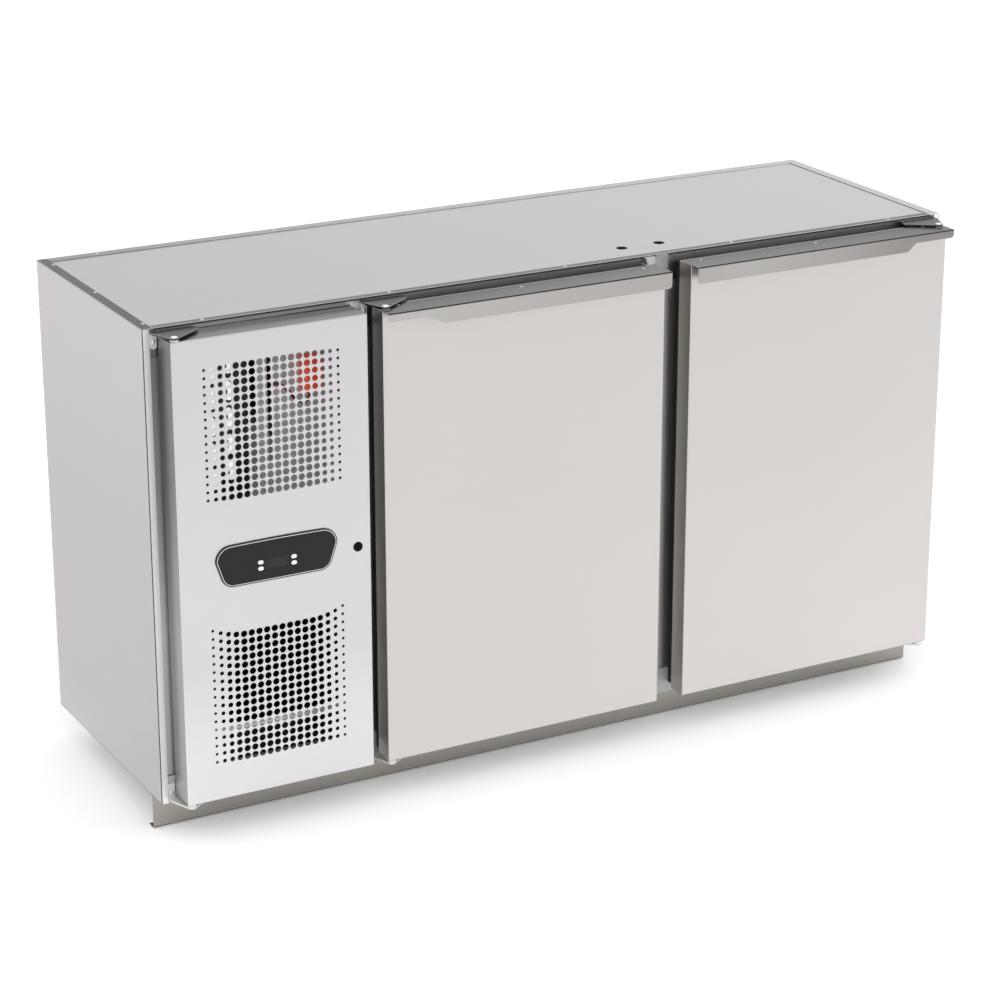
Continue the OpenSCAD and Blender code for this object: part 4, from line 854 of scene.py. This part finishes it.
def display_window():
    """Dark glossy window whose front edge widens to the edge of its opening."""
    lo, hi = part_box("control_display")
    outline = rounded_rect(*middle("control_display"), WINDOW_W - 2 * WINDOW_GAP,
                           WINDOW_H - 2 * WINDOW_GAP, 0.001)
    bm = bmesh.new()
    closed_walls(bm, front_rings(bm, [
        (outline, hi.y), (outline, lo.y + 0.0003), (inset_outline(outline, 0.0003), lo.y)]))
    piece("control_display_window", bm, PANEL, "display",
          ("control_display",))


def display_segments():
    """Three unlit digits of seven segments, just proud of the window."""
    face_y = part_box("control_display")[0].y
    front, back = face_y - 0.00004, face_y + 0.0001
    dx, dz = middle("control_display")
    half, gap = SEGMENT_W / 2, 0.0003
    bm = bmesh.new()
    for digit in (-1, 0, 1):
        x0 = dx + digit * DIGIT_PITCH
        for sx in (-1, 1):
            x = x0 + sx * DIGIT_W / 2
            for sz in (-1, 1):
                low, high = sorted((sz * gap, sz * (DIGIT_H / 2 - gap)))
                add_box(bm, (x - half, front, dz + low), (x + half, back, dz + high))
        reach = DIGIT_W / 2 - half - gap
        for level in (-1, 0, 1):
            z = dz + level * DIGIT_H / 2
            add_box(bm, (x0 - reach, front, z - half), (x0 + reach, back, z + half))
    piece("display_segments", bm, PANEL, "segment")


def push_button(side, level):
    """Domed oval cap with a small raised mark, a plus above and a minus below."""
    node = f"button_{level}_{side}"
    lo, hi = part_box(node)
    cx, cz = middle(node)
    levels = [(0.0, hi.y)] + [(inset, lo.y + depth) for inset, depth in CAP_PROFILE]
    bm = bmesh.new()
    closed_walls(bm, front_rings(bm, [
        (oval(cx, cz, BUTTON_W, BUTTON_H, -inset), y) for inset, y in levels]))
    piece(f"{node}_cap", bm, node, "button", (node,), angle=60)
    bm = bmesh.new()
    bars = [(0.0013, 0.0003)]
    if level == "upper":
        bars.append((0.0003, 0.0013))
    for w, h in bars:
        add_box(bm, (cx - w, lo.y - 0.00003, cz - h), (cx + w, lo.y + 0.0002, cz + h))
    piece(f"{node}_mark", bm, node, "mark")


control_fascia()
display_window()
display_segments()
for side in ("left", "right"):
    for level in ("lower", "upper"):
        push_button(side, level)


# ---- Side sheets and rims ----

def bent_path(points, radius, steps=5):
    """A polyline in XY with each inner corner replaced by an arc."""
    out = [Vector(points[0])]
    for a, b, c in zip(points, points[1:], points[2:]):
        a, b, c = Vector(a), Vector(b), Vector(c)
        d0, d1 = (a - b).normalized(), (c - b).normalized()
        start, end = b + d0 * radius, b + d1 * radius
        centre = b + (d0 + d1) * radius
        for k in range(steps + 1):
            t = k / steps * math.pi / 2
            out.append(centre + (start - centre) * math.cos(t) + (end - centre) * math.sin(t))
    out.append(Vector(points[-1]))
    return out


def extruded_sheet(name, path, along, a, b, mat, stands_for=(), tones=None, flip=False):
    """A bent sheet: a path in XY drawn along Z, or a path in YZ drawn along X."""
    def at(p, t):
        return (p.x, p.y, t) if along == "z" else (t, p.x, p.y)

    bm = bmesh.new()
    low = [bm.verts.new(at(p, a)) for p in path]
    high = [bm.verts.new(at(p, b)) for p in path]
    for k in range(len(path) - 1):
        quad = (low[k], low[k + 1], high[k + 1], high[k])
        bm.faces.new(quad[::-1] if flip else quad)
    bm.normal_update()
    obj = link_mesh(name, bm, CABINET, mat, stands_for, tones)
    thicken(obj)
    soften(obj, 0.0002)


def bar(name, lo, hi, mat, bevel=0.0003, edge=None):
    """A box of the cabinet with rounded edges."""
    bm = bmesh.new()
    add_box(bm, lo, hi)
    soften(piece(name, bm, CABINET, mat), bevel, edge=edge)


RIM_FRONT, RIM_BACK, RIM_W = 0.014, 0.020, 0.018
BACK_RETURN, FLANGE_W = 0.018, 0.012
RECESS_X, RECESS_END, RECESS_DEPTH, RECESS_LIP = 0.0108, 0.034, 0.0048, 0.0014
TAB_X, TAB_H = (0.0022, 0.0112), 0.034


def side_sheet(side, sx):
    """Folded side sheet with its front flange, recess strip, rim, a dark strip that paints the
    shadow beside the rim, foot fold and tab.
    """
    node = f"side_panel_{side}"
    lo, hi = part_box(node)
    x0 = lo.x if sx > 0 else hi.x
    y0, y1, z0, z1 = lo.y, hi.y, lo.z, hi.z

    def at(dx, y):
        return (x0 + sx * dx, y)

    def across(near, far):
        return sorted((x0 + sx * near, x0 + sx * far))

    # The flange front takes the lighter side_flange copy and the front fold the near-black rim
    # copy: painted highlight and painted shade.
    def tone(face):
        n = face.normal
        if n.y < -0.999:
            return 2
        return 1 if n.y < -0.3 and abs(n.x) > 0.05 else 0

    skin = bent_path([at(BACK_RETURN, y1), at(0, y1), at(0, y0), at(FLANGE_W, y0)], 0.0016)
    extruded_sheet(f"{node}_sheet", skin, "z", z0, z1 - SHEET, "side",
                   stands_for=(node,), flip=sx < 0,
                   tones=(("rim", "side_flange"), tone))
    strip = bent_path([at(RECESS_X, y0 + RECESS_LIP), at(RECESS_X, y0 + RECESS_DEPTH),
                       at(RECESS_END, y0 + RECESS_DEPTH)], 0.0012)
    extruded_sheet(f"{node}_recess", strip, "z", z0 + RECESS_LIP, z1 - 0.004, "recess",
                   flip=sx < 0)
    a, b = across(0, RIM_W)
    # Left rim near-black, right rim light: painted shade and painted light on one steel, with a
    # painted highlight on the rounded edges.
    bar(f"{node}_rim", (a, y0, z1 - SHEET), (b, y1, z1), "rim" if sx > 0 else "rim_light",
        0.0004, edge="edge")
    # A thin black strip that paints the shadow of the gap between rim and lid.
    shadow_strip_a, shadow_strip_b = across(RIM_W, RIM_W + 0.0007)
    bar(f"{node}_rim_shadow_strip", (shadow_strip_a, y0 + RIM_FRONT + 0.0015, z1 - SHEET),
        (shadow_strip_b, y1 - RIM_BACK, z1 - SHEET / 2), "rubber", 0.0001)
    bar(f"{node}_foot_fold", (a, y0 + SHEET, z0), (b, y1 - SHEET, z0 + SHEET), "side")
    tab_a, tab_b = across(*TAB_X)
    bar(f"{node}_corner_tab", (tab_a, y0 - 0.0008, z1 - TAB_H), (tab_b, y0 + 0.0004, z1 - SHEET),
        "side_flange", 0.0003, edge="edge")


side_sheet("left", 1)
side_sheet("right", -1)


def front_top():
    """Top rail of the front with its bottom return, the front rim and a dark strip under the rim
    that paints its shadow.
    """
    lo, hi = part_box("front_top_rail")
    low_return, rim_gap = 0.0125, 0.0057
    rail = bent_path([(lo.y + low_return, lo.z), (lo.y, lo.z), (lo.y, hi.z - SHEET)], 0.0015)
    extruded_sheet("front_top_rail_sheet", rail, "x", lo.x, hi.x, "rail",
                   stands_for=("front_top_rail",), flip=True)
    rim_x = hi.x - rim_gap
    bar("front_rim", (-rim_x, lo.y, hi.z - SHEET), (rim_x, lo.y + RIM_FRONT, hi.z), "rim_front",
        0.0004, edge="edge")
    # A thin black strip that paints the shadow under the front rim.
    bar("front_rim_shadow_strip", (-rim_x, lo.y - 0.0004, hi.z - SHEET - 0.0020),
        (rim_x, lo.y + 0.0006, hi.z - SHEET), "rubber", 0.0001)


def plinth_channel():
    """Plinth with its returns; the lower fold and return take a darker copy of the steel, painted
    shade.
    """
    lo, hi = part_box("plinth")
    low_return, top_return, fold = 0.017, 0.015, 0.0016
    path = bent_path([(lo.y + low_return, lo.z), (lo.y, lo.z), (lo.y, hi.z),
                      (lo.y + top_return, hi.z)], fold)

    def tone(face):
        return 1 if face.calc_center_median().z < lo.z + fold + 0.0001 else 0

    extruded_sheet("plinth_channel", path, "x", lo.x, hi.x, "plinth",
                   stands_for=("plinth",), flip=True, tones=(("plinth_edge",), tone))


front_top()
plinth_channel()


# ---- Hinge brackets ----

def prism(bm, outline, a, b, at):
    """A prism on a 2D outline, from a to b along the third axis; at places a 2D point."""
    low = [bm.verts.new(at(p, a)) for p in outline]
    high = [bm.verts.new(at(p, b)) for p in outline]
    return [bm.faces.new(low[::-1]), bm.faces.new(high)] + walls(bm, [low, high])


def lathe(bm, centre, rings, axis, sides=24):
    """A turned shape: rings of (radius, height) along an axis, closed at both ends."""
    c = Vector(centre)
    n = Vector(axis)
    u = n.orthogonal().normalized()
    v = n.cross(u)
    loops = []
    for r, h in rings:
        loops.append([
            bm.verts.new(c + h * n + r * (math.cos(t) * u + math.sin(t) * v))
            for t in (2 * math.pi * k / sides for k in range(sides))
        ])
    return [bm.faces.new(loops[0][::-1]), bm.faces.new(loops[-1])] + walls(bm, loops)


PLATE_T = 0.003
PIN_R = 0.004
PIN_DEPTH = 0.018
PIN = ((PIN_R, 0.0), (PIN_R, PIN_DEPTH - 0.0005), (PIN_R - 0.0005, PIN_DEPTH))
HEAD_H = 0.0013
PIN_HEAD = ((0.0055, 0.0), (0.0055, 0.0005), (0.0047, 0.0010), (0.0030, HEAD_H))
NOSE_R = 0.0075
LEG_H = 0.028
LEG_X = (-0.0218, -0.011)
LEG_Y = (0.0431, 0.046)
SCREW_X, SCREW_BELOW_TOP, SCREW_ABOVE_FOOT = -0.0164, 0.016, 0.012
SCREW = ((0.0050, 0.0), (0.0050, 0.0004), (0.0047, 0.0006))
PIVOT_X, PIVOT_Y = 0.010, 0.0095


def bracket_outline():
    """Outline of a bracket plate about its pivot, with a round nose."""
    nose = [
        (NOSE_R * math.cos(math.radians(t)), NOSE_R * math.sin(math.radians(t)))
        for t in range(196, 327, 10)
    ]
    return [(LEG_X[0], LEG_Y[1]), (LEG_X[0], 0.034), *nose, (0.050, 0.026), (0.052, 0.031),
            (0.047, LEG_Y[1])]


def leg_outline(z_fold, z_end):
    """Outline of a bracket leg from its fold to its rounded end."""
    sign = 1 if z_end > z_fold else -1
    x0, x1 = LEG_X
    r = (x1 - x0) / 2 if sign < 0 else 0.0015
    arc = []
    for cx, start in ((x1 - r, 0), (x0 + r, 90)):
        for k in range(6):
            t = math.radians(start + 18 * k)
            arc.append((cx + r * math.cos(t), z_end + sign * r * (math.sin(t) - 1)))
    return [(x0, z_fold), (x1, z_fold), *arc]


def hinge_bracket(name, pivot, hand, z0, sign):
    """Bracket plate, screwed leg, pin and pin head; sign is 1 above a door and -1 below it."""
    px, py = pivot
    above = sign > 0
    bm = bmesh.new()

    def mark(faces, tone):
        for face in faces:
            face.material_index = tone

    # Upper plates take the near-black bracket tone, painted shade; foot plates, legs, screws and
    # pins the light glowing ear tone, painted light; pin heads the bright glowing head tone,
    # painted highlight.
    mark(prism(bm, bracket_outline(), z0, z0 + PLATE_T,
               lambda p, z: (px + hand * p[0], py + p[1], z)), 0 if above else 1)
    outer_z, inner_z = (z0 + PLATE_T, z0) if above else (z0, z0 + PLATE_T)
    mark(prism(bm, leg_outline(outer_z, outer_z - sign * LEG_H), *LEG_Y,
               lambda p, y: (px + hand * p[0], py + y, p[1])), 1)
    screw_z = outer_z + (-SCREW_BELOW_TOP if above else SCREW_ABOVE_FOOT)
    mark(lathe(bm, (px + hand * SCREW_X, py + LEG_Y[0], screw_z), SCREW, (0, -1, 0)), 1)
    mark(lathe(bm, (px, py, inner_z), PIN, (0, 0, -sign)), 1)
    mark(lathe(bm, (px, py, outer_z), PIN_HEAD, (0, 0, sign)), 2)
    obj = piece(name, bm, CABINET, "bracket", ("hinge_brackets",),
                tones=(("ear", "head"), None))
    soften(obj, 0.0005, edge="edge")


def all_brackets():
    """A bracket above and below each leaf."""
    low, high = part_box("hinge_brackets")
    upper = high.z - HEAD_H - PLATE_T
    lower = low.z + HEAD_H
    for key, node, hand in (("panel", "machine_panel", 1), ("left", "door_left_skin", 1),
                            ("right", "door_right_skin", -1)):
        lo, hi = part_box(node)
        pivot = (lo.x + PIVOT_X if hand > 0 else hi.x - PIVOT_X, lo.y + PIVOT_Y)
        hinge_bracket(f"bracket_{key}_top", pivot, hand, upper, 1)
        hinge_bracket(f"bracket_{key}_foot", pivot, hand, lower, -1)


all_brackets()


# ---- Machine bay ----

TUBE_PITCH, TUBE_R = 0.022, 0.00475
FIN_PITCH, FIN_HALF = 0.0045, 0.00018
LEAD_R = 0.0025


def finned_coil(node, fin, height):
    """Block of thin fins between end plates, with its tubes and return bends."""
    lo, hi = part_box(node)
    y0 = lo.y + TUBE_PITCH / 2 + TUBE_R
    y1, z1 = hi.y, hi.z
    z0 = z1 - height
    edge_x, edge_z = 0.0006, 0.0008
    bm = bmesh.new()
    fins = int((y1 - y0) / FIN_PITCH)
    for k in range(1, fins):
        y = y0 + (y1 - y0) * k / fins
        add_box(bm, (lo.x + edge_x, y - FIN_HALF, z0 + edge_z),
                (hi.x - edge_x, y + FIN_HALF, z1 - edge_z))
    for y in (y0, y1 - SHEET):
        add_box(bm, (lo.x, y, lo.z), (hi.x, y + SHEET, z1))
    for z in (z0, z1 - SHEET):
        add_box(bm, (lo.x, y0, z), (hi.x, y1, z + SHEET))
    piece(f"{node}_fins", bm, CABINET, fin, (node,))

    bm = bmesh.new()
    r = TUBE_PITCH / 2
    for column, share in ((0, 0.27), (1, 0.73)):
        x = lo.x + (hi.x - lo.x) * share
        for row in range(int((height - 0.020) / TUBE_PITCH / 2)):
            z = z0 + 0.014 + column * r + (row * 2 + 0.5) * TUBE_PITCH
            arc = [(x, y0 - r * math.cos(t), z + r * math.sin(t))
                   for t in (math.radians(-90 + 15 * k) for k in range(13))]
            tube(bm, [(x, y1 + 0.0015, z - r), *arc, (x, y1 + 0.0015, z + r)], TUBE_R, 14)
    # The bends are white and glow: painted highlight.
    piece(f"{node}_bends", bm, CABINET, "bend", (node,), angle=50)


finned_coil("condenser_coil", "coil", 0.255)
finned_coil("evaporator_coil", "fin", 0.220)


def tray_hem():
    """Rolled hem along the front edge of the machine tray."""
    lo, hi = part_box("machine_tray")
    r = 0.0055
    bm = bmesh.new()
    y, z = lo.y + SHEET, hi.z - r
    tube(bm, [(lo.x, y, z), (hi.x, y, z)], r, 24)
    # Light tone with glow: painted highlight along the hem.
    piece("machine_tray_hem", bm, CABINET, "hem")


def bay_lining():
    """Sheet on the machine side of the insulated wall, over the ends of all its foam parts."""
    boxes = [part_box(f"insulation_{part}") for part in ("divider", "base", "back", "top")]
    lo = [min(b[0][i] for b in boxes) for i in range(3)]
    hi = [max(b[1][i] for b in boxes) for i in range(3)]
    # A near-black zinc copy: painted shade of the bay.
    bar("machine_bay_lining", (lo[0] - 0.0008, lo[1], lo[2]), (lo[0], hi[1], hi[2]), "lining",
        0.0002)


def smooth_route(points, steps=5):
    """Catmull-Rom curve through the points."""
    pts = [Vector(p) for p in points]
    pts = [2 * pts[0] - pts[1], *pts, 2 * pts[-1] - pts[-2]]
    out = []
    for a, b, c, d in zip(pts, pts[1:], pts[2:], pts[3:]):
        for k in range(steps):
            t = k / steps
            out.append(0.5 * (2 * b + (c - a) * t + (2 * a - 5 * b + 4 * c - d) * t * t
                              + (3 * b - a - 3 * c + d) * t ** 3))
    return [*out, pts[-2]]


def fan_lead():
    """Lead from the motor's end, through the slot of the plate and up into the red box."""
    lo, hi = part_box("junction_box_lead")
    box_lo, box_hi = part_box("junction_box")
    motor_y = hi.y - LEAD_R
    entry = Vector(((box_lo.x + box_hi.x) / 2 - 0.001, lo.y + LEAD_R, box_lo.z))
    slot_x = lo.x + LEAD_R
    level = hi.z - LEAD_R
    plate_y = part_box("component_plate")[0].y
    start = Vector((entry.x - 0.009, motor_y, lo.z + LEAD_R))
    route = [
        start, start + Vector((0.007, 0, 0)), start + Vector((0.014, -0.002, -0.001)),
        start + Vector((0.020, -0.009, -0.003)), start + Vector((0.021, -0.022, -0.004)),
        start + Vector((0.019, -0.045, 0.000)), start + Vector((0.013, -0.075, 0.012)),
        (entry.x - 0.012, plate_y + 0.044, level - 0.020),
        (slot_x + 0.030, plate_y + 0.029, level - 0.006),
        (slot_x + 0.0135, plate_y + 0.0245, level - 0.001),
        (slot_x + 0.0040, plate_y + 0.0200, level), (slot_x, plate_y + 0.0110, level),
        (slot_x, plate_y + 0.002, level), (slot_x + 0.003, plate_y - 0.0065, level - 0.001),
        (slot_x + 0.0105, entry.y, level - 0.003), (slot_x + 0.023, entry.y, level - 0.010),
        (entry.x - 0.028, entry.y, entry.z - 0.009), (entry.x - 0.0135, entry.y, entry.z - 0.0180),
        (entry.x - 0.0042, entry.y, entry.z - 0.0150), (entry.x, entry.y, entry.z - 0.0065),
        (entry.x, entry.y, entry.z + 0.001),
    ]
    bm = bmesh.new()
    tube(bm, smooth_route(route), LEAD_R, 16)
    piece("junction_box_lead_run", bm, CABINET, "lead", ("junction_box_lead",),
          angle=60)


tray_hem()
bay_lining()
fan_lead()
